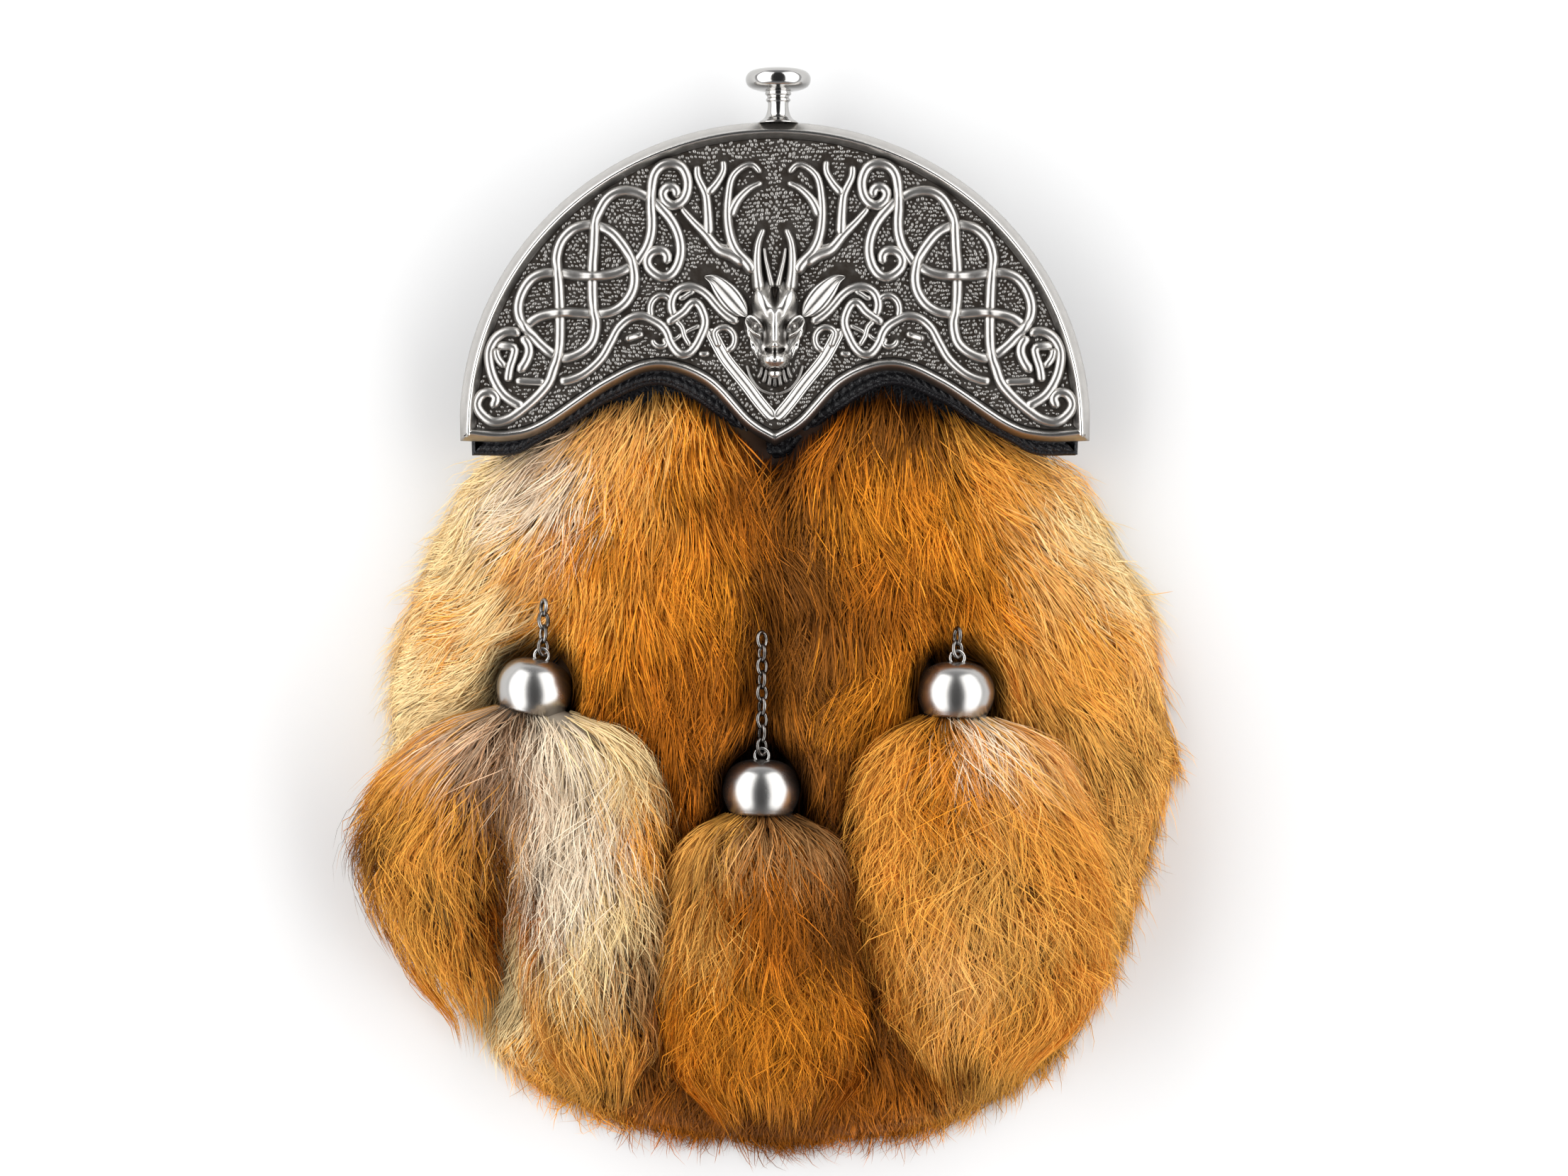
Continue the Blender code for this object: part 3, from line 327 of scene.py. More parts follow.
def nestDepthAt(x, y):
    # How deep tassels and chains bed in the fur: e^-((distance / width)^4) from the lines of their lobes.
    deepest = np.zeros(np.shape(x))
    for tassel in tassels.values():
        mx, my = tassel["mouth"]
        lines = [[(row[1], row[0], row[2]) for row in lobe] for lobe in tassel["lobes"]]
        lines.append([(mx, my + step, 6.0) for step in np.linspace(0, linkPitch * tassel["links"] + 16, 6)])
        for line in lines:
            for (ax, ay, aw), (bx, by, bw) in zip(line, line[1:]):
                sx, sy = bx - ax, by - ay
                t = np.clip(((x - ax) * sx + (y - ay) * sy) / (sx * sx + sy * sy), 0, 1)
                away = np.hypot(x - ax - t * sx, y - ay - t * sy)
                deepest = np.maximum(deepest, np.exp(-((away / ((aw + t * (bw - aw)) * 1.15)) ** 4)))
    return deepest


def leatherSection(y):
    # The leather's half width and depth at y, straight between its sections.
    rows = np.array(pouch["sections"][::-1], float).T
    return np.interp(y, rows[0], rows[1], left=0.01), np.interp(y, rows[0], rows[2], left=0.0)


def furSurface(x, y, radius=furRadius):
    # The coat's outer surface: height * (1 - share^fullness)^0.5 over the outline, less the troughs and
    # partings, and never thinner over the leather than it has to be. Past the outline it runs on down as a
    # slope. The hair, which has its own outline, also stands up in a ring round each cap.
    share = outlineShare(x, y, radius)
    power, drop, reach = pouch["fullness"]
    fullness = power - drop * np.clip((y - pouch["furY"]) / reach, 0, 1)
    crown = (1 - np.minimum(share, 1) ** fullness) ** 0.5
    parting = sum(
        depth * np.exp(-(((x - px) / width) ** 2)) * smoothStep(foot - 4, foot + 4, y) * (y < top)
        for px, top, foot, depth, width in pouch["partings"]
    )
    sunk = (pouch["nestDepth"] * nestDepthAt(x, y) + parting) * np.minimum(1, crown * 1.4)
    if radius is not furRadius:
        far, wide, tall = pouch["ring"]
        for tassel in tassels.values():
            mx, my = tassel["mouth"]
            ring = np.exp(-(((np.hypot(x - mx, y - my - 5) - far) / wide) ** 2))
            sunk = sunk - tall * ring * smoothStep(my - 6, my + 4, y)
    half, depth = leatherSection(y)
    across = np.minimum(np.abs(x) / half, 1) ** (1 / pouch["sideCurve"])
    leather = depth * (1 - across**2) ** (pouch["crownCurve"] / 2)
    over = np.maximum(pouch["furHeight"] * crown - sunk, leather + pouch["overLeather"] * (share < 1))
    return np.where(share < 1, over, -60 * (share - 1))


hairColours = {  # linear red, green, blue
    "cream": (0.97, 0.74, 0.38), "ivory": (0.97, 0.82, 0.62), "ash": (0.66, 0.47, 0.31),
    "golden": (0.92, 0.43, 0.070), "orange": (0.66, 0.24, 0.018), "rust": (0.40, 0.12, 0.008),
    "brown": (0.21, 0.072, 0.010), "umber": (0.06, 0.024, 0.008), "mauve": (0.42, 0.24, 0.13),
    "tan": (0.76, 0.39, 0.085), "peach": (0.95, 0.52, 0.15), "taupe": (0.44, 0.23, 0.085),
}
bodyPatches = [  # (x, y, colour) as it looks round that point, in mm
    (-57, 39, "ash"), (-50, 30, "ivory"), (-65, 29, "ivory"), (-73, 35, "cream"), (-80, 15, "cream"),
    (-86, -10, "cream"), (-78, -4, "golden"), (-80, -29, "cream"), (-43, 41, "peach"), (-41, 30, "golden"),
    (-42, 18, "orange"), (-61, 13, "peach"), (-67, 3, "cream"), (-73, -10, "cream"), (-24, 37, "orange"),
    (-32, 46, "peach"), (-20, 50, "golden"), (-42, 48, "peach"), (-14, 34, "rust"), (-17, 9, "orange"),
    (-5, 22, "rust"), (0, 8, "brown"), (1, 17, "brown"), (3, 30, "brown"), (-50, 5, "golden"),
    (-52, -8, "orange"), (-35, -10, "orange"), (-17, -20, "rust"), (-26, -34, "rust"), (-12, -36, "brown"),
    (-30, -14, "rust"), (8, 38, "rust"), (20, 50, "brown"), (34, 48, "brown"), (12, 44, "rust"),
    (21, 29, "orange"), (40, 30, "orange"), (55, 38, "golden"), (70, 36, "peach"), (80, 28, "cream"),
    (88, 12, "cream"), (93, -8, "peach"), (90, -24, "tan"), (78, -10, "golden"), (69, 12, "peach"),
    (75, 22, "cream"), (50, 10, "orange"), (26, 5, "rust"), (12, -8, "brown"), (24, -18, "orange"),
    (9, -38, "brown"), (66, -36, "tan"), (88, -46, "tan"), (86, -66, "tan"), (77, -85, "tan"),
    (36, -104, "rust"), (16, -112, "rust"), (-24, -108, "brown"), (-24, -120, "rust"), (-70, -95, "cream"),
    # Painted shade: the brown and umber patches at (-25, -62), (-25, -85), (19, -62), (21, -80) and (26, -94)
    # darken the coat along the gaps between the tassels, where shade falls.
    (-54, -110, "golden"), (2, -122, "rust"), (56, -110, "golden"), (-88, -60, "golden"), (-25, -62, "brown"),
    (-25, -85, "brown"), (19, -62, "umber"), (21, -80, "brown"), (26, -94, "brown"),
]
tasselPatches = {
    "left": [
        (-65, -29, "mauve"), (-72, -27, "ash"), (-68, -38, "mauve"), (-88, -38, "golden"),
        (-80, -46, "golden"), (-100, -54, "brown"), (-90, -54, "golden"), (-94, -68, "golden"),
        (-71, -57, "golden"), (-80, -66, "golden"), (-64, -60, "brown"), (-65, -73, "rust"),
        (-76, -84, "golden"), (-54, -27, "ivory"), (-46, -38, "ivory"), (-43, -53, "ivory"),
        (-35, -36, "cream"), (-29, -50, "golden"), (-50, -67, "ivory"), (-56, -60, "ivory"),
        (-36, -70, "cream"), (-45, -84, "cream"), (-35, -86, "taupe"), (-51, -94, "tan"),
        (-40, -104, "golden"),
    ],
    "center": [
        (-5, -50, "taupe"), (4, -52, "taupe"), (-2, -47, "brown"), (-17, -50, "tan"), (2, -60, "rust"),
        (-8, -66, "rust"), (-18, -74, "tan"), (2, -76, "rust"), (13, -72, "brown"), (-7, -91, "orange"),
        (9, -94, "orange"), (2, -112, "orange"), (-17, -108, "orange"), (16, -108, "rust"),
        (-20, -92, "orange"),
    ],
    "right": [
        (51, -26, "ivory"), (40, -28, "orange"), (30, -29, "golden"), (57, -34, "peach"), (41, -42, "orange"),
        (60, -47, "golden"), (25, -48, "golden"), (49, -57, "tan"), (69, -57, "golden"), (30, -66, "golden"),
        (58, -76, "tan"), (40, -85, "peach"), (58, -95, "golden"), (30, -91, "golden"), (72, -84, "golden"),
    ],
}
hairTones = {  # the spread of brightness, as powers of e
    "smear": 4.0, "reach": 3.5,  # mm that a hair's colour is drawn from, and over which the patches blend
    "lock": 0.14, "strand": 0.19, "own": 0.27, "paleLess": 0.6,
    # Painted shade: the roots are darkened and reddened for the shade deep in the coat.
    "root": (0.28, 0.38),  # a root's share of the full brightness, and how much more of it in a pale coat
    "tip": (0.10, 0.30), "darkTips": (0.09, -1.1),  # the share of tips that are dark, and by how much
}


def coatColour(x, y, patches, reach):
    # The patches' colours blended by nearness: each counts as (distance^2 + reach^2)^-3.
    total, weight = np.zeros((len(x), 3)), np.zeros((len(x), 1))
    for px, py, name in patches:
        near = 1 / ((x - px) ** 2 + (y - py) ** 2 + reach**2)[:, None] ** 3
        total += near * np.array(hairColours[name])
        weight += near
    return total / weight


def hairShades(x, y, patches, locks, strands, steps, seed, darker=0.0):
    # Each hair's colour along its length: the coat's, times e^chance that its lock and its strand share. It
    # is darker and redder at the root, painted shade of the coat's depths, full from half way on, and paler or
    # darker at the tip by chance.
    tones, dice = hairTones, np.random.default_rng(seed)
    count, smear = len(x), tones["smear"]
    nearX, nearY = x + dice.normal(0, smear, count), y + dice.normal(0, smear, count)
    base = coatColour(nearX, nearY, patches, tones["reach"])
    pale = smoothStep(0.25, 0.65, base[:, 1])
    tone = dice.normal(0, tones["lock"], locks.max() + 1)[locks]
    tone = tone + dice.normal(0, tones["strand"], strands.max() + 1)[strands]
    tone = np.exp((tone + dice.normal(0, tones["own"], count)) * (1 - tones["paleLess"] * pale))
    t = np.linspace(0, 1, steps + 1)[None, :, None]
    dark = (tones["root"][0] + tones["root"][1] * pale)[:, None, None]
    root = dark + (1 - dark) * smoothStep(0.0, 0.5, t)
    tip = dice.normal(*tones["tip"], count) * (1 - 0.5 * pale) - darker
    often, drop = tones["darkTips"]
    tip = np.where(dice.uniform(0, 1, count) < often, drop, tip)[:, None, None]
    # Painted shade: darker and redder towards the root.
    shade = base[:, None, :] ** (1.25 - 0.25 * root) * tone[:, None, None] * root
    shade = shade * np.exp(tip * smoothStep(0.5, 1.0, t))
    shade = shade * np.minimum(1, 0.95 / shade.max(-1, keepdims=True))
    return np.maximum(shade, 0.003)


def coatMaterial(name, roughness, specular):
    # A material that takes its colour from the piece's own coat attribute.
    material, tree, shader = newMaterial(name, {"Roughness": roughness, "Specular IOR Level": specular})
    coat = addNode(tree, "ShaderNodeAttribute", attribute_name="coat")
    feed(tree, shader, {"Base Color": coat.outputs["Color"]})
    return material


foxHair = coatMaterial("fox_hair", 0.5, 0.06)
# Painted shade: the hide and the tassel cores take the coat's colour dimmed to a few percent, standing in for
# the deep shade under the hair.
shadedSkin = coatMaterial("skin_painted_shade", 0.9, 0.5)


def ribbons(name, hairs, node, slot):
    # Hairs as narrow strips: at each point of a path, two vertices half a width to either side, across both
    # the path and the way it faces. The strip narrows as (1 - t)^0.6 and ends in one vertex.
    paths, facing, width, coat = hairs
    count, steps = paths.shape[0], paths.shape[1] - 1
    along = unit(np.gradient(paths, axis=1))
    side = unit(np.cross(along, facing[:, None, :]))
    t = np.linspace(0, 1, steps + 1)
    half = 0.5 * width[:, None] * np.minimum(1, 0.55 + 2.5 * t) * (1 - t) ** 0.6
    reach = side[:, :-1] * half[:, :-1, None]
    body = np.stack([paths[:, :-1] - reach, paths[:, :-1] + reach], 2).reshape(count, 2 * steps, 3)
    points = np.concatenate([body, paths[:, -1:]], 1).reshape(-1, 3)
    base = (np.arange(count) * (2 * steps + 1))[:, None]
    k = 2 * np.arange(steps - 1)[None, :]
    quads = np.stack([base + k, base + k + 1, base + k + 3, base + k + 2], -1)
    tris = np.column_stack([base + 2 * steps - 2, base + 2 * steps - 1, base + 2 * steps])
    colours = np.concatenate([np.repeat(coat[:, :-1], 2, 1), coat[:, -1:]], 1).reshape(-1, 3)
    low, high = points[:, :2].min(0), points[:, :2].max(0)
    spread = (points[:, :2] - low) / (high - low)
    made = meshObject(name, points * mm, quads, tris, foxHair, colours, uv=spread)
    place(made, node)
    print(f"{name}: {count} hairs")


def clumpNumbers(u, v, size, seed):
    # Which lock each root belongs to: the nearest of one jittered centre in each square of the given size.
    jitter = np.random.default_rng(seed).uniform(0.1, 0.9, (64, 64, 2))
    cu, cv = np.floor(u / size).astype(int), np.floor(v / size).astype(int)
    best, number = np.full(len(u), 1e9), np.zeros(len(u), int)
    for iu in (cu - 1, cu, cu + 1):
        for iv in (cv - 1, cv, cv + 1):
            spot = jitter[iu % 64, iv % 64]
            away = (u - (iu + spot[:, 0]) * size) ** 2 + (v - (iv + spot[:, 1]) * size) ** 2
            near = away < best
            best = np.where(near, away, best)
            number = np.where(near, (iu + 500) * 1000 + iv + 500, number)
    return np.unique(number, return_inverse=True)[1]


def mixed(dice, own, locks, lockSize, strands, strandSize):
    # Chance of each hair's own, plus chance that its lock shares and chance that its strand shares.
    total = own * dice.normal(0, 1, len(locks))
    total += lockSize * dice.normal(0, 1, locks.max() + 1)[locks]
    return total + strandSize * dice.normal(0, 1, strands.max() + 1)[strands]


def gather(paths, number, pull, power):
    # Draws hairs together into locks: each hair moves towards its lock's mean path by pull * t^power.
    members = np.bincount(number).astype(float)
    flat = paths.reshape(len(paths), -1)
    mean = np.column_stack([np.bincount(number, column) for column in flat.T]) / members[:, None]
    mean = mean[number].reshape(paths.shape)
    t = np.linspace(0, 1, paths.shape[1])[None, :, None]
    return paths + (mean - paths) * pull[:, None, None] * t**power


def makeCoatGrid(step, low, high):
    # The hair's outer surface and its slopes, kept on a fine grid over the table.
    x, y = np.meshgrid(np.arange(low[0], high[0], step), np.arange(low[1], high[1], step))
    height = furSurface(x, y, hairRadius)
    slopeY, slopeX = np.gradient(height, step)
    return {"step": step, "low": low, "height": height, "slopeX": slopeX, "slopeY": slopeY}


coatGrid = makeCoatGrid(0.8, (-135, -170), (140, 110))


def coatAt(layer, x, y):
    # A layer of the coat's grid, read between its points by the shares of the four round each place.
    grid, step, low = coatGrid[layer], coatGrid["step"], coatGrid["low"]
    u = np.clip((x - low[0]) / step, 0, grid.shape[1] - 1.001)
    v = np.clip((y - low[1]) / step, 0, grid.shape[0] - 1.001)
    i, j = u.astype(int), v.astype(int)
    fu, fv = u - i, v - j
    near = grid[j, i] * (1 - fu) + grid[j, i + 1] * fu
    far = grid[j + 1, i] * (1 - fu) + grid[j + 1, i + 1] * fu
    return near * (1 - fv) + far * fv


cap = {
    "lift": 5.4,  # of the mouth's middle over the highest fur round it
    "turns": 72, "shoulder": 12.8, "eye": 1.7, "eyeWire": 0.45,
    "profile": [
        (0.0, 13.1), (2.4, 13.0), (4.5, 12.6), (6.3, 11.75), (7.7, 10.4), (8.65, 8.6), (9.1, 6.8), (9.1, 5.2),
        (8.75, 3.5), (8.2, 2.1), (7.7, 1.1), (7.35, 0.5), (7.15, 0.1), (6.95, -0.05), (6.75, 0.2), (7.1, 1.4),
        (8.0, 3.6), (8.3, 5.8), (7.9, 8.0), (6.6, 10.0), (4.2, 11.5), (0.0, 12.2),
    ],
    # Painted shade: 'dark' is the span of distance from a cap's middle over which the hair's colour comes back
    # from its darkest to full.
    "middle": 6.2, "hairClear": 9.5, "hairGone": 6.0, "dark": (10.0, 13.5),  # for the hair round it
    "hairFrom": -8.0,  # height from the mouth over which hair is kept off
    "chainReach": 15.5, "chainTop": 15.0,  # where the chain's line is taken, and its clear strip's length
    "chainClear": (1.5, 2.4),  # half the width that hair leaves clear over a chain, and from how far below it
}


def highestFur(x, y, across, along):
    # The highest fur at nine places, from their distances across and along from (x, y).
    dx, dy = np.meshgrid(across, along)
    return furSurface(x + dx, y + dy).max()


def capCentre(name):
    # Where a cap's mouth lies: over the highest fur round it by the cap's lift.
    mx, my = tassels[name]["mouth"]
    return mx, my, highestFur(mx, my, (-6, 0, 6), (0, 6, 12)) + cap["lift"]


def onCapAxis(name, reach):
    # The place over the table that is a reach along a cap's axis from its mouth.
    mx, my = tassels[name]["mouth"]
    tilt = math.radians(tassels[name]["tilt"])
    return mx - reach * math.sin(tilt), my + reach * math.cos(tilt)


def clearOfCaps(paths):
    # Bends hairs round the caps, and gives False for those that would pass right over one or its chain.
    keep = np.ones(len(paths), bool)
    for name, tassel in tassels.items():
        _, my, mz = capCentre(name)
        middle = onCapAxis(name, cap["middle"])
        away = paths[..., :2] - middle
        far = np.hypot(away[..., 0], away[..., 1])
        high = paths[..., 2] > mz + cap["hairFrom"]
        bent = middle + away * (cap["hairClear"] / np.maximum(far, 1))[..., None]
        onCap = (far < cap["hairGone"]) & high
        paths[..., :2] = np.where(((far < cap["hairClear"]) & high)[..., None], bent, paths[..., :2])
        top = my + cap["chainTop"] + linkPitch * tassel["links"] * 0.5
        wide, below = cap["chainClear"]
        overChain = np.abs(paths[..., 0] - onCapAxis(name, cap["chainReach"])[0]) < wide
        overChain &= (paths[..., 2] > mz - below) & (paths[..., 1] > my) & (paths[..., 1] < top)
        keep &= ~(onCap.any(1) | overChain.any(1))
    return keep


bodyHair = {
    "count": 69000, "pieces": 3, "steps": 4,
    "length": (15.0, 27.0), "width": (0.17, 0.38), "rootDepth": 7.0, "rise": (0.0, 2.6),
    "across": (-100, 102), "along": (-135, 70), "within": 0.985, "density": 0.42,  # where roots are strewn
    "risen": 0.55, "drop": (0.6, 1.2),  # the share of its length where a hair has risen, and its tip's drop
    "lowest": (0.4, 1.5), "scatter": 0.45,  # how low hairs may lie, and how unevenly they face
    "lock": 5.0, "lockPull": 0.3, "strand": 1.25, "strandPull": 0.6,  # sizes, and how far they draw hairs in
    "wander": 11.0, "lieReach": 12.0,  # degrees that hairs turn from the coat's lie, and mm that its rows blend
    "beyond": (0.002, 0.034, 0.12),  # the least, the usual and the most share by which hairs pass the outline
    "boardHalf": (70, 66),  # half width and rise of the part of the board that has no roots behind it
    "boardEdge": [  # its lower edge from the ellipse's centre
        (0, -6.6), (4, -5.4), (12.6, 3.6), (27, 12.2), (39.8, 8.4), (48, 3.2), (57, -1.6), (63, -4.6),
    ],
    # Painted shade: the last of these is the share of the coat's colour that the hide under the hair keeps,
    # dark for the shade there.
    "hideDepth": 5.5, "hideShare": 0.97, "hideShadedBright": 0.07,
    # Painted shade: how much the hair's colour is darkened by the tassels and round the caps, and the span of y
    # over which the darkening by the tassels fades out.
    "nestPaintedShade": 0.5, "nestFades": (-28, -14), "capPaintedShade": 0.15,  # how dark it is by the tassels and the caps
}
# The coat's lie: (x, y, direction in degrees from +X) round that point
lie = [
    (-70, 40, 215), (-60, 37, 222), (-50, 36, 238), (-36, 42, 262), (-26, 42, 274), (-12, 33, 296),
    (-80, 20, 208), (-88, 0, 203), (-92, -15, 204), (-64, 15, 222), (-62, 0, 224), (-46, 12, 262),
    (-30, 12, 275), (-18, 12, 284), (-6, 12, 296), (-35, -12, 268), (-16, -20, 275), (5, 36, 255),
    (14, 42, 262), (24, 30, 272), (38, 40, 285), (50, 34, 300), (62, 38, 318), (74, 34, 325), (80, 20, 318),
    (88, 0, 312), (24, 0, 272), (40, 10, 288), (58, 6, 300), (12, -20, 262), (12, -40, 258), (72, -12, 298),
    (90, -30, 312), (86, -60, 304), (70, -40, 290), (80, -80, 300), (60, -108, 286), (30, -115, 278),
    (0, -120, 270), (-30, -115, 262), (-56, -108, 250), (-76, -95, 238), (-90, -70, 222), (-90, -40, 210),
    (-72, -30, 225),
]


def lieAt(x, y):
    # The lie's directions blended by nearness, as unit vectors weighted by (distance^2 + reach^2)^-2.
    fx, fy = np.zeros(np.shape(x)), np.zeros(np.shape(x))
    for px, py, degrees in lie:
        near = 1 / ((x - px) ** 2 + (y - py) ** 2 + bodyHair["lieReach"] ** 2) ** 2
        fx += near * math.cos(math.radians(degrees))
        fy += near * math.sin(math.radians(degrees))
    size = np.hypot(fx, fy)
    return fx / size, fy / size


def strewRoots(dice):
    # Roots over the dome, none of them behind the board, and denser where it is steep: (1 + slope^2)^0.5.
    count = int(bodyHair["count"] * fineness)
    x, y = dice.uniform(*bodyHair["across"], count * 4), dice.uniform(*bodyHair["along"], count * 4)
    edge = np.interp(np.abs(x), *zip(*bodyHair["boardEdge"]))
    halfWidth, rise = bodyHair["boardHalf"]
    behind = (((x / halfWidth) ** 2 + ((y - moonY) / rise) ** 2) < 1) & (y > moonY + edge)
    slope = np.hypot(coatAt("slopeX", x, y), coatAt("slopeY", x, y))
    likely = np.minimum(1, bodyHair["density"] * np.sqrt(1 + np.minimum(slope, 3) ** 2))
    keep = (outlineShare(x, y, hairRadius) < bodyHair["within"]) & ~behind
    keep &= dice.uniform(0, 1, len(x)) < likely
    return x[keep][:count], y[keep][:count]


def walkHairs(x, y, length, turn, rise, rootZ, steps, dice):
    # Paths walked in equal steps along the coat's lie, shortened where the dome is steep. Their height is the
    # dome's, less the root's depth, plus a rise that comes in over the first half. The tips drop a little.
    (dropFrom, drop), (least, spread) = bodyHair["drop"], bodyHair["lowest"]
    paths = np.zeros((len(x), steps + 1, 3))
    for k in range(steps + 1):
        t = k / steps
        risen = 1 - (1 - min(t / bodyHair["risen"], 1)) ** 2
        lift = -rootZ + (rootZ + rise) * risen - drop * max(t - dropFrom, 0)
        z = np.maximum(coatAt("height", x, y) + lift, least + spread * dice.uniform(0, 1, len(x)))
        paths[:, k] = np.column_stack([x, y, z])
        fx, fy = lieAt(x, y)
        c, s = np.cos(turn * (1 + t)), np.sin(turn * (1 + t))
        fx, fy = fx * c - fy * s, fx * s + fy * c
        down = coatAt("slopeX", x, y) * fx + coatAt("slopeY", x, y) * fy
        stride = length / steps / np.sqrt(1 + np.clip(down, -2.0, 0.8) ** 2)
        x, y = x + fx * stride, y + fy * stride
    return paths


def drawnIn(paths, dice):
    # Hairs past the outline by a share s end past it by limit * tanh(s / limit), each with its own limit.
    least, usual, most = bodyHair["beyond"]
    share = outlineShare(paths[..., 0], paths[..., 1], hairRadius)
    limit = np.clip(least + dice.exponential(usual, (len(paths), 1)), 0, most)
    within = np.where(share > 1, (1 + limit * np.tanh((share - 1) / limit)) / share, 1)
    middle = [0, pouch["furY"]]
    paths[..., :2] = (paths[..., :2] - middle) * within[..., None] + middle
    return paths


def paintedShadow(paths):
    # Painted shade: how bright the coat's colour is left beside the tassels and round the caps, darkened there
    # to stand in for the shade where the coat is deep.
    x, y = paths[..., 0], paths[..., 1]
    nest = nestDepthAt(x, y) * (1 - smoothStep(*bodyHair["nestFades"], y))
    bright = 1 - bodyHair["nestPaintedShade"] * nest
    least = bodyHair["capPaintedShade"]
    for name in tassels:
        cx, cy = onCapAxis(name, cap["middle"])
        bright = bright * (least + (1 - least) * smoothStep(*cap["dark"], np.hypot(x - cx, y - cy)))
    return bright[..., None]


def growBodyHair():
    # Roots over the dome, walked along the coat's lie, gathered into locks, and drawn in at the outline.
    spec, dice = bodyHair, np.random.default_rng(11)
    x, y = strewRoots(dice)
    count = len(x)
    length = dice.uniform(*spec["length"], count) * (1 + 0.12 * waves(x, y, 30, 5))
    locks, strands = clumpNumbers(x, y, spec["lock"], 21), clumpNumbers(x, y, spec["strand"], 22)
    turn = 0.20 * waves(x, y, 22, 6) + 0.10 * waves(x, y, 9, 8)
    turn = turn + np.radians(spec["wander"]) * mixed(dice, 0.7, locks, 0.5, strands, 0.8)
    rise = dice.uniform(*spec["rise"], count) + 1.2 * waves(x, y, 12, 9)
    rise = rise + mixed(dice, 0.0, locks, 0.3, strands, 0.7)
    rootZ = spec["rootDepth"] * dice.uniform(0.6, 1.0, count)
    paths = walkHairs(x, y, length, turn, rise, rootZ, spec["steps"], dice)
    loose = 1 - 0.75 * smoothStep(0.8, 0.97, outlineShare(x, y, hairRadius))
    paths = gather(paths, locks, spec["lockPull"] * loose * dice.uniform(0.5, 1.2, count), 1.6)
    paths = gather(paths, strands, spec["strandPull"] * loose * dice.uniform(0.3, 1.3, count), 1.3)
    paths = drawnIn(paths, dice)
    keep = clearOfCaps(paths)
    paths, locks, strands = paths[keep], locks[keep], strands[keep]
    mx, my, _ = paths[:, 2].T
    slopeX, slopeY = (np.clip(coatAt(layer, mx, my), -3, 3) for layer in ("slopeX", "slopeY"))
    facing = unit(np.column_stack([-slopeX, -slopeY, np.ones(len(paths))]))
    facing = unit(facing + dice.normal(0, spec["scatter"], facing.shape))
    # The hair's colours, with painted shade beside the tassels and round the caps.
    shades = hairShades(mx, my, bodyPatches, locks, strands, spec["steps"], 31) * paintedShadow(paths)
    return paths, facing, np.random.default_rng(12).uniform(*spec["width"], len(paths)), shades


def makeHide():
    # The hide under the hair: the dome lowered by the hide's depth, on a grid of angle and share, with a hub.
    turns, shares = 120, np.append(np.linspace(0.02, 0.9, 30), [0.94, 0.97])
    share, angle = np.meshgrid(shares, roundTurn(turns), indexing="ij")
    reach = hairRadius(angle) * bodyHair["hideShare"] * share
    x, y = reach * np.cos(angle), pouch["furY"] + reach * np.sin(angle)
    under = bodyHair["hideDepth"]
    points = np.stack([x, y, np.maximum(coatAt("height", x, y) - under, 0.9)], -1).reshape(-1, 3)
    hub = [0, pouch["furY"], coatAt("height", np.array([0.0]), np.array([pouch["furY"]]))[0] - under]
    points = np.vstack([points, [hub]])
    quads = gridFaces(len(shares), turns, wrapColumns=True)
    ring = np.arange(turns)
    tris = np.column_stack([np.full(turns, len(points) - 1), ring, (ring + 1) % turns])
    # Painted shade: the coat's colour, dimmed to a few percent for the shade under the hair.
    colours = coatColour(points[:, 0], points[:, 1], bodyPatches, 6.0) * bodyHair["hideShadedBright"]
    hide = meshObject("fur_hide", points * mm, quads[:, ::-1], tris, shadedSkin, colours)
    place(hide, "pouch_fur")


makeHide()
hairs = growBodyHair()
third = np.random.default_rng(3).integers(0, bodyHair["pieces"], len(hairs[0]))
for i in range(bodyHair["pieces"]):
    ribbons(f"fur_hair_{i + 1}", [values[third == i] for values in hairs], "pouch_fur", "fox_fur")


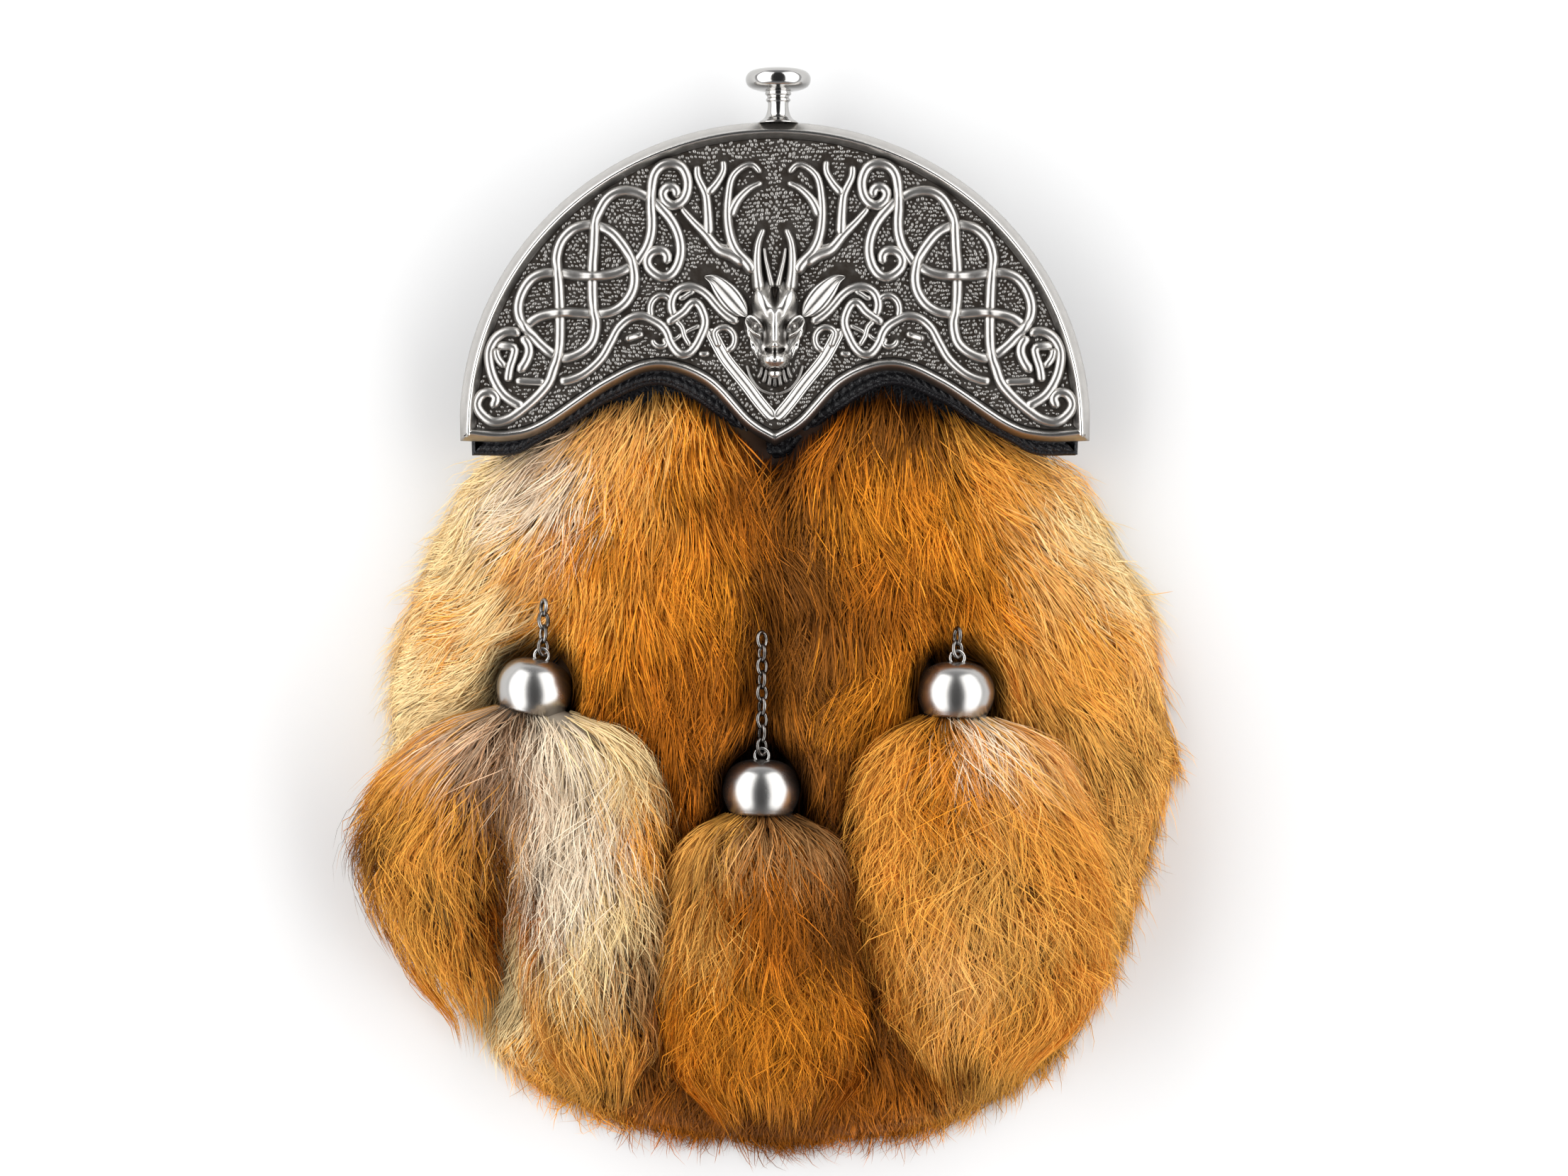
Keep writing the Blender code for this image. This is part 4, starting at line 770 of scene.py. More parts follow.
tasselHair = {
    "count": 14500, "steps": 4, "length": (10.0, 21.0), "width": (0.18, 0.36), "strays": 0.15,
    "rootShare": 0.68, "puff": 0.12, "flare": 0.30,
    "lock": 4.0, "lockPull": 0.3, "strand": 1.2, "strandPull": 0.6,
    "capRadius": 9.8, "coreShare": 0.80, "scatter": 0.45,
    "lobes": {  # (along y, centre x, half width, half depth): as full as the hair stands
        "left": [
            [(-18.5, -59.6, 7.0, 6.0), (-21.0, -63.0, 11.5, 9.0), (-26, -67.0, 15.5, 11.0),
             (-40, -75.0, 19.5, 12.5), (-56, -80.5, 19.0, 12.5), (-72, -79.0, 15.5, 11.0),
             (-88, -74.5, 11.0, 8.5), (-97, -72.0, 6.0, 5.0)],
            [(-19.5, -57.0, 7.0, 6.0), (-22.0, -52.5, 12.0, 9.5), (-27, -48.5, 15.5, 11.5),
             (-42, -44.0, 17.5, 13.0), (-64, -43.0, 17.0, 13.0), (-86, -42.5, 15.5, 12.0),
             (-102, -42.0, 12.5, 9.0), (-111, -41.0, 7.0, 6.0)],
        ],
        "center": [
            [(-43.0, -3.3, 7.0, 6.0), (-45.0, -3.3, 13.0, 9.0), (-50, -3.2, 16.0, 11.0),
             (-62, -3.2, 18.5, 12.5), (-82, -3.0, 19.8, 13.5), (-99, -2.0, 20.5, 12.0),
             (-110, -1.6, 18.5, 9.0), (-117, -1.0, 13.0, 6.5)],
        ],
        "right": [
            [(-20.0, 42.8, 7.0, 6.0), (-22.0, 43.2, 13.5, 9.5), (-27, 44.0, 18.5, 11.5),
             (-40, 45.0, 24.0, 13.0), (-60, 47.5, 27.5, 14.5), (-80, 50.0, 26.0, 13.5),
             (-96, 50.0, 20.5, 10.5), (-107, 48.0, 12.0, 6.5)],
        ],
    },
}


def lobePoint(rows, capZ, phi, y, share):
    # A point of a lobe: round an ellipse at turn phi about the lobe's middle at y, scaled by share. The
    # middle lies on the coat, or on the table at the hem, and rises to the cap's height near the cap.
    centre, wide, deep = throughTable(rows, np.clip(y, rows[-1][0], rows[0][0]))
    past = np.clip((rows[-1][0] - y) / 12, 0, 1)
    wide, deep = wide * (1 - 0.4 * past), deep * (1 - 0.5 * past)
    bed = np.maximum(coatAt("height", centre, y) + deep * 0.66, deep + 0.6)
    nearCap = smoothStep(rows[0][0] - 9, rows[0][0] + 0.5, y)
    middle = bed * (1 - nearCap) + capZ * nearCap
    return np.stack([centre + wide * share * np.cos(phi), y, middle + deep * share * np.sin(phi)], -1)


def growLobeHair(rows, capZ, count, dice, seed):
    # Each hair is rooted inside its lobe and runs down it at a steady turn phi, while its share of the lobe's
    # size grows from the root's share to one over its first half.
    spec = tasselHair
    top, foot = rows[0][0], rows[-1][0]
    y0 = top - 0.3 - (top - foot - 9) * dice.uniform(0, 1, count * 3) ** 1.45
    wide = throughTable(rows, y0 - 6)[1]
    keep = dice.uniform(0, 1, len(y0)) < (wide / max(row[2] for row in rows)) ** 0.6
    y0 = y0[keep][:count]
    count = len(y0)
    phi = np.radians(dice.uniform(-48, 228, count))
    length = dice.uniform(*spec["length"], count)
    stray = dice.uniform(0, 1, count) < spec["strays"]
    u = phi * 0.5 * (throughTable(rows, y0)[1] + 12)
    locks = clumpNumbers(u, y0, spec["lock"], seed + 3)
    strands = clumpNumbers(u, y0, spec["strand"], seed + 4)
    wander = 0.20 * waves(phi * 16, y0, 16, seed + 1) + mixed(dice, 0.12, locks, 0.12, strands, 0.24)
    wander = wander * np.where(stray, 2.2, 1.0)
    puff = spec["puff"] * dice.uniform(-0.7, 1.0, count) + 0.06 * waves(phi * 16, y0, 11, seed + 2)
    puff = puff + np.where(stray, 0.12, 0.0) + mixed(dice, 0.0, locks, 0.02, strands, 0.05)
    flare = dice.uniform(-0.05, spec["flare"], count) * np.where(stray, 1.6, 1.0)
    steps = spec["steps"]
    paths = np.zeros((count, steps + 1, 3))
    for k in range(steps + 1):
        t = k / steps
        share = spec["rootShare"] + (1.0 - spec["rootShare"] + puff) * (1 - (1 - min(t / 0.6, 1)) ** 2)
        y = y0 - length * t * (0.72 + 0.28 * t)
        paths[:, k] = lobePoint(rows, capZ, phi + wander * t, y, share + flare * t**2)
    paths = gather(paths, locks, spec["lockPull"] * dice.uniform(0.4, 1.3, count), 1.6)
    paths = gather(paths, strands, spec["strandPull"] * dice.uniform(0.3, 1.3, count), 1.3)
    paths[..., 2] = np.maximum(paths[..., 2], 0.5)
    facing = np.column_stack([np.cos(phi), np.full(count, 0.15), np.sin(phi)])
    return paths, unit(facing + dice.normal(0, spec["scatter"], facing.shape)), locks, strands


def growTasselHair(name, capZ, seed):
    # The lobes' hairs together, without those that would come through the cap. The tips at the tassel's outer
    # side are darker.
    spec, lobes, dice = tasselHair, tasselHair["lobes"][name], np.random.default_rng(seed)
    count = int(spec["count"] * fineness / len(lobes))
    grown = [growLobeHair(rows, capZ, count, dice, seed) for rows in lobes]
    paths, facing = (np.concatenate([g[i] for g in grown]) for i in (0, 1))
    locks, strands = (np.concatenate([g[i] + 10000 * n for n, g in enumerate(grown)]) for i in (2, 3))
    mx, my = tassels[name]["mouth"]
    lean = math.radians(tassels[name]["tilt"])
    along = (paths[..., 1] - my) * math.cos(lean) - (paths[..., 0] - mx) * math.sin(lean)
    inCap = (np.hypot(paths[..., 0] - mx, paths[..., 2] - capZ) < spec["capRadius"]) & (along > 0.4)
    keep = ~inCap.any(1)
    locks, strands = (np.unique(number, return_inverse=True)[1][keep] for number in (locks, strands))
    paths, facing = paths[keep], facing[keep]
    x, y, _ = paths[:, 2].T
    darker = 0.9 * (1 - smoothStep(-98, -80, x)) * smoothStep(-85, -70, y) + 0.25
    shades = hairShades(x, y, tasselPatches[name], locks, strands, spec["steps"], seed + 5, darker)
    return paths, facing, dice.uniform(*spec["width"], len(paths)), shades


def makeTasselCore(name, capZ, node, slot):
    # The hide in a tassel: its lobes at the core's share of their size, each end shrunk to a point.
    rings, around = 26, 28
    taper = tasselHair["coreShare"] * np.sqrt(np.clip(1 - np.abs(np.linspace(-1, 1, rings)) ** 8, 0.0004, 1))
    phi = roundTurn(around)
    points, quads = [], []
    for rows in tasselHair["lobes"][name]:
        yy, pp = np.meshgrid(np.linspace(rows[0][0] + 1.0, rows[-1][0] + 8.0, rings), phi, indexing="ij")
        quads.append(gridFaces(rings, around, wrapColumns=True, start=len(points) * rings * around))
        points.append(lobePoint(rows, capZ, pp.ravel(), yy.ravel(), np.repeat(taper, around)))
    points = np.vstack(points)
    points[:, 2] = np.maximum(points[:, 2], 0.4)
    shades = coatColour(points[:, 0], points[:, 1], tasselPatches[name], 5.0)
    # Painted shade: the core's colour is the coat's dimmed to 8 to 30 percent, the least under dark coats, for
    # the shade deep in the tassel.
    shades = shades * (0.08 + 0.22 * smoothStep(0.25, 0.7, shades[:, 1:2]))
    place(meshObject(f"tassel_core_{name}", points * mm, np.vstack(quads), (), shadedSkin, shades), node)


for number, name in enumerate(tassels):
    low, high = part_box(f"cap_{name}")
    capZ = 0.5 * (low[2] + high[2]) / mm
    target = f"tassel_{name}", "fox_fur" if name == "right" else "brown_fur"
    makeTasselCore(name, capZ, *target)
    ribbons(f"tassel_hair_{name}", growTasselHair(name, capZ, 100 + 10 * number), *target)


def mathNode(tree, operation, *values):
    # The output of one step of arithmetic on values or sockets.
    return addNode(tree, "ShaderNodeMath", dict(enumerate(values)), operation=operation).outputs[0]


def noiseNode(tree, scale):
    # Cloudy noise over the piece's own coordinates, which are in m.
    spot = addNode(tree, "ShaderNodeTexCoord").outputs["Object"]
    return addNode(tree, "ShaderNodeTexNoise", {"Scale": scale, "Detail": 3.0, "Vector": spot}).outputs["Fac"]


def makeGroup(name, inputs):
    # A shader group that puts out a colour, a roughness and a height, and what its input node gives.
    group = bpy.data.node_groups.new(name, "ShaderNodeTree")
    for label, value in inputs.items():
        kind = "Color" if isinstance(value, tuple) else "Float"
        made = group.interface.new_socket(label, in_out="INPUT", socket_type=f"NodeSocket{kind}")
        made.default_value = value
    for label, kind in (("Color", "Color"), ("Roughness", "Float"), ("Height", "Float")):
        group.interface.new_socket(label, in_out="OUTPUT", socket_type=f"NodeSocket{kind}")
    return group, group.nodes.new("NodeGroupInput").outputs


def makeMetalGroup():
    # The mask gives the tarnish at 0 and the polish at 1: it is wear, and on the relief bars painted highlight
    # too. Cloudy noise shifts the mask by up to Patches either way, and fine noise gives the height.
    group, given = makeGroup("worn_metal", {
        "WornAndSheen": 1.0, "Polish": (0.72, 0.70, 0.67, 1), "Tarnish": (0.05, 0.041, 0.034, 1), "Smooth": 0.16,
        "Rough": 0.5, "Patches": 0.2,
    })
    cloud = mathNode(group, "SUBTRACT", noiseNode(group, 420.0), 0.5)
    shift = mathNode(group, "MULTIPLY", cloud, given["Patches"])
    wornAndSheen = mathNode(group, "ADD", given["WornAndSheen"], mathNode(group, "MULTIPLY", shift, 2.0))
    wornAndSheen = mathNode(group, "MAXIMUM", mathNode(group, "MINIMUM", wornAndSheen, 1.0), 0.0)
    shares = {0: wornAndSheen, 6: given["Tarnish"], 7: given["Polish"]}
    mix = addNode(group, "ShaderNodeMix", shares, data_type="RGBA")
    gap = mathNode(group, "SUBTRACT", given["Smooth"], given["Rough"])
    rough = mathNode(group, "ADD", given["Rough"], mathNode(group, "MULTIPLY", gap, wornAndSheen))
    fine = noiseNode(group, 1500.0)
    addNode(group, "NodeGroupOutput", {"Color": mix.outputs[2], "Roughness": rough, "Height": fine})
    return group


def makeLeatherGroup():
    # Black leather: small cells between fine creases give the height, and the creases are duller.
    inputs = {"Cells": 900.0, "Colour": (0.008, 0.008, 0.010, 1), "Shine": 0.27}
    group, given = makeGroup("black_leather", inputs)
    spot = addNode(group, "ShaderNodeTexCoord").outputs["Object"]
    cells = addNode(
        group, "ShaderNodeTexVoronoi", {"Vector": spot, "Scale": given["Cells"]}, feature="DISTANCE_TO_EDGE"
    )
    crease = mathNode(group, "MINIMUM", mathNode(group, "MULTIPLY", cells.outputs["Distance"], 5.0), 1.0)
    dull = mathNode(group, "MULTIPLY", mathNode(group, "SUBTRACT", 1.0, crease), 0.25)
    rough = mathNode(group, "ADD", given["Shine"], dull)
    addNode(group, "NodeGroupOutput", {"Color": given["Colour"], "Roughness": rough, "Height": crease})
    return group


def surfaceMaterial(name, group, values, metallic, relief, mask=""):
    # A material whose shader takes its colour, roughness and bump from a shared group.
    specular = 0.5 if metallic else 0.3
    material, tree, shader = newMaterial(name, {"Metallic": metallic, "Specular IOR Level": specular})
    if mask:
        values = values | {"WornAndSheen": addNode(tree, "ShaderNodeAttribute", attribute_name=mask).outputs["Fac"]}
    shared = addNode(tree, "ShaderNodeGroup", values, node_tree=group).outputs
    bump = addNode(tree, "ShaderNodeBump", {"Distance": relief, "Strength": 0.5, "Height": shared["Height"]})
    feed(tree, shader, {
        "Base Color": shared["Color"], "Roughness": shared["Roughness"], "Normal": bump.outputs["Normal"],
    })
    return material


metals = {  # (the metal group's values, height of the bump in m, name of the mask)
    "cast_silver": ({"Patches": 0.10, "Smooth": 0.20}, 0.00003, "wornAndSheen"),
    "bright_silver": (
        {"WornAndSheen": 1.0, "Patches": 0.05, "Smooth": 0.13, "Rough": 0.3, "Polish": (0.50, 0.49, 0.475, 1)},
        0.000002, "",
    ),
    "satin_silver": (
        {"WornAndSheen": 1.0, "Patches": 0.08, "Smooth": 0.27, "Rough": 0.4, "Polish": (0.45, 0.44, 0.425, 1)},
        0.000002, "",
    ),
    "dark_silver": ({"WornAndSheen": 0.20, "Patches": 0.7, "Smooth": 0.12, "Rough": 0.26}, 0.00001, ""),
}
metalGroup = makeMetalGroup()
castSilver, brightSilver, satinSilver, darkSilver = (
    surfaceMaterial(name, metalGroup, values, 1.0, relief, mask)
    for name, (values, relief, mask) in metals.items()
)
blackLeather = surfaceMaterial("black_leather", makeLeatherGroup(), {"Cells": 1100.0}, 0.0, 0.00012)


cantle = {
    "halfWidth": 76.0, "rise": 73.6, "backZ": 19.3, "groundZ": 24.5,
    "edge": [  # lower edge of the right half from the ellipse's centre
        (0, -4.4), (7.3, 0.2), (17, 10.2), (28.4, 13.8), (39.8, 9.4), (55, -0.6), (64, -3.3), (75.8, -3.2),
    ],
    "arcRim": [  # (inward, height, worn) across the rim on the arc
        (0, 19.3, 0.3), (0, 22.6, 0.6), (0.12, 23.4, 0.7), (0.5, 24.1, 0.75), (1.1, 25.0, 0.7),
        (1.75, 25.95, 0.6), (2.05, 26.4, 0.85), (2.35, 26.7, 1.0), (2.75, 26.6, 0.9), (3.0, 26.2, 0.7),
        (3.4, 25.5, 0.5), (3.8, 24.8, 0.2), (4.2, 24.35, 0.04), (4.6, 24.2, 0.02),
    ],
    "lowRim": [
        (0, 19.3, 0.05), (0, 22.8, 0.05), (0.1, 23.6, 0.15), (0.35, 24.5, 0.2), (0.75, 25.3, 0.3),
        (1.15, 25.8, 0.55), (1.5, 25.95, 0.9), (1.9, 25.85, 0.9), (2.3, 25.4, 0.7), (2.6, 24.8, 0.35),
        (2.8, 24.35, 0.06), (3.1, 24.2, 0.03), (3.4, 24.25, 0.03), (3.8, 24.2, 0.03),
    ],
    "strandHalf": 1.45, "strandHeight": 1.75,
    "over": 0.85, "under": 0.55, "crossing": 1.7,  # how far strands rise and dip at a crossing, and along it
    "dotPitch": 1.08, "dotHalf": 0.48, "dotHeight": 0.42, "dotWander": 0.16,
    "dotsInside": 4.5, "dotsClear": 0.15,  # how far inside the arc the dots stay, and how clear of the relief
}
# Charts of the relief's left half: (left, top, step) turn (column, row) into mm from the ellipse's centre.
charts = {
    "plait": (-77.01, 68.3, 0.039036), "knot": (-37.91, 39.4, 0.019516), "stag": (-31.92, 71.7, 0.049868),
    "tie": (-35.0, 33.95, 0.0293),
}
strands = [  # (share of the strands' width, [(chart, its points)])
    (1.0, [("plait", [
        (1345, 335), (1368, 305), (1350, 275), (1312, 272), (1282, 310), (1300, 358), (1350, 385),
        (1402, 358), (1432, 300), (1435, 225), (1402, 152), (1340, 125), (1272, 142), (1228, 200),
        (1212, 300), (1210, 400), (1215, 480), (1210, 560), (1185, 640), (1140, 710), (1085, 760),
        (1000, 800), (880, 820), (750, 815), (640, 800), (540, 805), (465, 845), (415, 920), (392, 1000),
        (398, 1070), (425, 1125), (480, 1185), (530, 1240), (600, 1295), (680, 1325), (780, 1290),
        (850, 1220), (872, 1110), (858, 1040), (850, 950), (848, 850), (850, 750), (858, 650), (862, 560),
        (866, 490), (885, 430), (930, 350), (990, 305), (1060, 292), (1140, 310), (1215, 350), (1290, 420),
        (1350, 500), (1385, 590), (1392, 680), (1370, 760), (1330, 812), (1280, 826), (1222, 795),
        (1186, 745), (1198, 690), (1248, 660), (1296, 672), (1312, 712), (1280, 738),
    ])]),
    (1.0, [("plait", [
        (209, 1616), (245, 1605), (255, 1565), (217, 1536), (166, 1551), (137, 1608), (166, 1668),
        (238, 1717), (325, 1702), (404, 1652), (505, 1565), (578, 1478), (612, 1385), (640, 1300),
        (648, 1200), (648, 1050), (645, 950), (640, 850), (635, 790), (628, 700), (660, 600), (730, 530),
        (810, 505), (870, 508), (960, 545), (1030, 620), (1085, 710), (1108, 800), (1100, 900), (1050, 985),
        (980, 1035), (900, 1052), (800, 1050), (680, 1045), (560, 1060), (480, 1095), (420, 1150),
    ])]),
    (1.0, [("plait", [
        (411, 1182), (361, 1161), (303, 1168), (246, 1211), (213, 1283), (217, 1370), (246, 1464),
        (303, 1551), (376, 1601), (433, 1623),
    ])]),
    (1.0, [("plait", [(404, 1190), (448, 1233), (459, 1291), (433, 1356), (404, 1392), (376, 1399)])]),
    (0.8, [("plait", [(253, 1262), (270, 1330), (318, 1385)])]),
    (0.9, [("plait", [(253, 1262), (300, 1250), (368, 1262), (361, 1320), (340, 1385), (325, 1478)])]),
    (0.8, [("plait", [(368, 1464), (460, 1470), (563, 1471)])]),
    (0.9, [
        ("plait", [
            (640, 1465), (700, 1462), (800, 1420), (900, 1330), (960, 1230), (1010, 1140), (1080, 1080),
            (1160, 1065),
        ]),
        ("tie", [
            (218, 293), (275, 335), (312, 390), (330, 445), (362, 505), (405, 552), (445, 565), (500, 545),
            (550, 485), (590, 405), (618, 335), (622, 272), (600, 205), (572, 155), (535, 132), (495, 155),
            (450, 210), (385, 258), (300, 312),
        ]),
    ]),
    (0.9, [("tie", [
        (378, 248), (352, 205), (345, 140), (370, 65), (425, 20), (500, 5), (580, 30), (650, 85), (705, 150),
        (770, 220), (845, 275), (905, 300),
    ])]),
    (0.7, [("tie", [(185, 262), (172, 205), (180, 145), (215, 98), (265, 78), (318, 95), (345, 130)])]),
    (0.6, [("tie", [(395, 105), (440, 98), (480, 70), (520, 50), (545, 60)])]),
    (0.6, [("tie", [(372, 292), (418, 318), (442, 365), (452, 410), (480, 460), (505, 495)])]),
    (0.5, [("tie", [(452, 385), (510, 355), (585, 322)])]),
    (0.5, [("tie", [(330, 420), (365, 440), (400, 425), (432, 390)])]),
    (0.6, [("tie", [(185, 432), (205, 475), (250, 500), (300, 485), (302, 455), (262, 440)])]),
    (0.6, [("tie", [(570, 540), (600, 562), (665, 550)])]),
    (0.7, [("knot", [(90, 950), (330, 860)])]),
    (1.0, [
        ("tie", [(652, 350), (698, 430), (742, 515), (808, 622)]),
        ("stag", [(500, 1230), (560, 1310), (610, 1370), (640, 1395)]),
    ]),
    (0.7, [("tie", [
        (742, 505), (716, 440), (702, 385), (738, 348), (800, 343), (852, 385), (866, 450), (838, 512),
        (782, 532),
    ])]),
]
antlers = [  # (half width at the root, at the tip, height at the root, chart points)
    (1.8, 0.8, 3.6, [(570, 790), (560, 740), (554, 680), (554, 600), (563, 540), (588, 478)]),
    (1.0, 0.5, 2.6, [(628, 770), (612, 700), (596, 630), (588, 570)]),
    (1.75, 0.85, 2.9, [
        (545, 700), (500, 640), (455, 590), (425, 520), (412, 430), (415, 330), (432, 240), (475, 190),
        (530, 172), (575, 215),
    ]),
    (1.6, 0.8, 2.3, [(418, 430), (460, 345), (520, 285), (582, 258)]),
    (2.0, 0.9, 2.8, [(510, 655), (440, 610), (370, 580), (310, 510), (250, 450), (205, 400), (188, 378)]),
    (1.6, 1.0, 2.3, [(322, 520), (318, 420), (310, 330), (296, 290), (268, 230), (265, 172)]),
    (1.4, 0.9, 2.2, [(308, 320), (355, 270), (392, 205), (390, 148)]),
    (1.25, 0.9, 1.8, [(315, 500), (350, 550), (400, 570), (428, 560)]),
]
ears = [(3.0, 2.7, [(505, 905), (455, 850), (395, 780), (345, 730), (300, 712)])]
stag = {
    "size": 1.1, "eyes": 24.5, "blunt": 3.0, "step": 0.2,
    "forms": [  # (across, up, half width, half height, height), mirrored when off the middle
        (0, 28.6, 5.3, 6.4, 2.8), (3.9, 24.2, 3.2, 3.3, 2.6), (0, 21.4, 5.8, 6.2, 2.0),
        (0, 20.6, 2.9, 8.4, 4.2), (0, 16.9, 3.3, 3.0, 5.2), (0, 14.0, 1.9, 1.7, 3.6),
    ],
    "details": [  # (across, up, half length, half width, turn, height), mirrored when off the middle
        (2.8, 29.6, 4.8, 1.9, 62, 2.9), (0, 24.0, 5.2, 1.15, 90, 1.4), (0, 32.0, 3.4, 0.7, 90, -2.0),
        (1.6, 25.6, 1.5, 0.5, 60, 0.5), (4.5, 24.4, 2.0, 0.8, 48, -0.9), (4.3, 24.2, 0.55, 0.5, 48, 1.5),
        (2.1, 22.0, 3.2, 0.75, 84, -1.3), (0, 19.9, 1.8, 0.8, 0, 1.2), (1.35, 18.9, 0.8, 0.45, 35, -1.6),
        (0, 18.2, 0.28, 1.3, 0, -1.2), (0, 16.9, 1.6, 1.1, 0, 0.5), (2.2, 16.9, 1.5, 1.0, 75, 0.8),
        (0, 14.75, 1.9, 0.3, 0, -1.4), (5.5, 21.0, 3.2, 0.42, 78, 1.1), (4.4, 19.4, 2.6, 0.4, 72, 0.9),
        (3.5, 18.9, 2.2, 0.38, 66, 0.5),
    ],
    # The same, with the line's share of the size before the height
    "rings": [(4.5, 24.4, 2.8, 1.25, 48, 0.26, 0.75)],
    "ruff": (7, 13.6, 9.4, 4.4), "ruffBand": [(6.8, 15.0), (5.8, 12.0), (3.8, 9.3), (1.6, 8.2), (0, 8.0)],
}


def chartPoints(stretches):
    # A line's points in mm, from stretches of charted columns and rows.
    path = []
    for chart, points in stretches:
        left, top, step = charts[chart]
        path += [(left + step * column, top - step * row) for column, row in points]
    return path


def halfMoonSides(edge, halfWidth, rise, first):
    # The half moon's three sides, counterclockwise: its arc and the two halves of its lower edge.
    turn = np.radians(np.linspace(first, 180 - first, 60))
    arc = [edge[-1], *zip(halfWidth * np.cos(turn), rise * np.sin(turn)), (-edge[-1][0], edge[-1][1])]
    right = smoothPath(edge, 0.6)
    return [smoothPath(arc, 0.6), right[::-1] * [-1, 1], right]


def mitred(sides, number, inward):
    # One side moved inward along its normals, and cut where it meets the lines that halve the corners.
    curve = sides[number]
    slope = unit(np.gradient(curve, axis=0))
    path = curve + np.column_stack([-slope[:, 1], slope[:, 0]]) * np.reshape(inward, (-1, 1))
    for end in (0, -1):
        other = sides[(number + (-1 if end == 0 else 1)) % 3]
        here = slope[0] if end == 0 else -slope[-1]
        there = unit(other[-2] - other[-1]) if end == 0 else unit(other[1] - other[0])
        half = here + there
        line = path[::-1] if end else path
        away = half[0] * (line[:, 1] - curve[end, 1]) - half[1] * (line[:, 0] - curve[end, 0])
        away = away * np.sign(away[len(away) // 2])
        k = max(1, int(np.argmax(away > 0)))
        t = -away[k - 1] / (away[k] - away[k - 1])
        line = np.vstack([line[k - 1] + (line[k] - line[k - 1]) * max(0.0, t), line[k:]])
        path = line[::-1] if end else line
    return path


def makeRim(sides, profiles, counts):
    # A profile of (inward, height, worn) swept round the half moon. Over the last 9 mm before a corner, each
    # side's profile runs into the mean of the two that meet there.
    def fromCorner(t, number):
        return (np.minimum(t, t[-1] - t), t, t[-1] - t)[number]

    loops = []
    for rows in zip(*np.array(profiles, float)):
        mean = 0.5 * (rows[0] + rows[1])
        loop = []
        for number, count in enumerate(counts):
            own = rows[min(number, 1)]
            along = np.linspace(0, 1, len(sides[number])) * len(sides[number]) * 0.6
            inward = mean[0] + (own[0] - mean[0]) * smoothStep(0, 9, fromCorner(along, number))
            path = evenly(mitred(sides, number, inward), count)
            near = fromCorner(np.linspace(0, along[-1], count), number)
            rest = mean[1:] + (own[1:] - mean[1:]) * smoothStep(0, 9, near)[:, None]
            loop.append(np.column_stack([path, rest])[:-1])
        loops.append(np.vstack(loop))
    grid = np.array(loops)
    points = grid[..., :3].reshape(-1, 3) + [0, moonY, 0]
    return points, gridFaces(*grid.shape[:2], wrapColumns=True), noTriangles, grid[..., 3].ravel()


def halfMoonSheet(sides, inwardArc, inwardLow, z, facingUp, wornAndSheen=0.1, columns=150, rows=14):
    # A flat sheet inside the half moon: columns across it, each from the lower edge up to the arc.
    arc = mitred(sides, 0, inwardArc)
    low = np.vstack([mitred(sides, 1, inwardLow), mitred(sides, 2, inwardLow)])
    arc, low = arc[np.argsort(arc[:, 0])], low[np.argsort(low[:, 0])]
    x = min(arc[:, 0].max(), low[:, 0].max()) * np.sin(np.linspace(-1, 1, columns) * np.pi / 2)
    foot, head = np.interp(x, low[:, 0], low[:, 1]), np.interp(x, arc[:, 0], arc[:, 1])
    y = foot + np.maximum(head - foot, 0) * np.linspace(0, 1, rows)[:, None]
    points = np.stack([np.broadcast_to(x, y.shape), y + moonY, np.full(y.shape, z)], -1).reshape(-1, 3)
    quads = gridFaces(rows, columns)
    return points, quads if facingUp else quads[:, ::-1], noTriangles, wornAndSheen


def bar(path, half, height, foot=-0.4, across=9, groove=0.0):
    # A rounded bar on the ground: at a turn a over it, a point lies half * cos a to the side and up by
    # (height - foot) * sin(a)^0.8 from the foot. At its ends it narrows as a circle does. A groove runs down
    # its middle as 1 - groove * e^-((cos a / 0.55)^2). Its mask is low on the flanks, where tarnish stays, and
    # high on the shoulders with a duller crest: a painted highlight, two bright lines beside a greyer top.
    gone = travelled(path)
    tips = np.array([0.0, 0.06, 0.22, 0.5, 0.85])
    at = np.unique(np.concatenate([gone[(gone > 1.1) & (gone < gone[-1] - 1.1)], tips, gone[-1] - tips]))
    at = at[at >= 0]
    x, y = (np.interp(at, gone, path[:, i]) for i in (0, 1))
    wide, tall = (np.interp(at, gone, np.broadcast_to(v, len(path))) for v in (half, height))
    near = np.minimum(np.minimum(at, gone[-1] - at) / wide, 1)
    blunt = np.maximum(np.sqrt(1 - (1 - near) ** 2), 0.02)
    slope = unit(np.column_stack([np.gradient(x), np.gradient(y)]))
    a = np.linspace(0, np.pi, across)
    side = (wide * blunt)[:, None] * np.cos(a)
    hollow = 1 - groove * np.exp(-((np.cos(a) / 0.55) ** 2)) * blunt[:, None]
    up = foot + (tall * blunt - foot)[:, None] * np.sin(a) ** 0.8 * hollow
    spotX, spotY = x[:, None] - slope[:, 1:] * side, y[:, None] + slope[:, :1] * side
    points = np.stack([spotX, spotY, up], -1).reshape(-1, 3)
    # Painted highlight: polish highest on the shoulders and a little lower on the crest, for two bright lines
    # on a greyer top; the low flanks stay tarnished.
    wornAndSheen = 0.03 + 0.68 * smoothStep(0.2, 0.6, np.sin(a)) - 0.18 * smoothStep(0.85, 1.0, np.sin(a))
    wornAndSheen = np.broadcast_to(wornAndSheen, up.shape).ravel()
    return points, gridFaces(*up.shape, wrapColumns=True), noTriangles, wornAndSheen


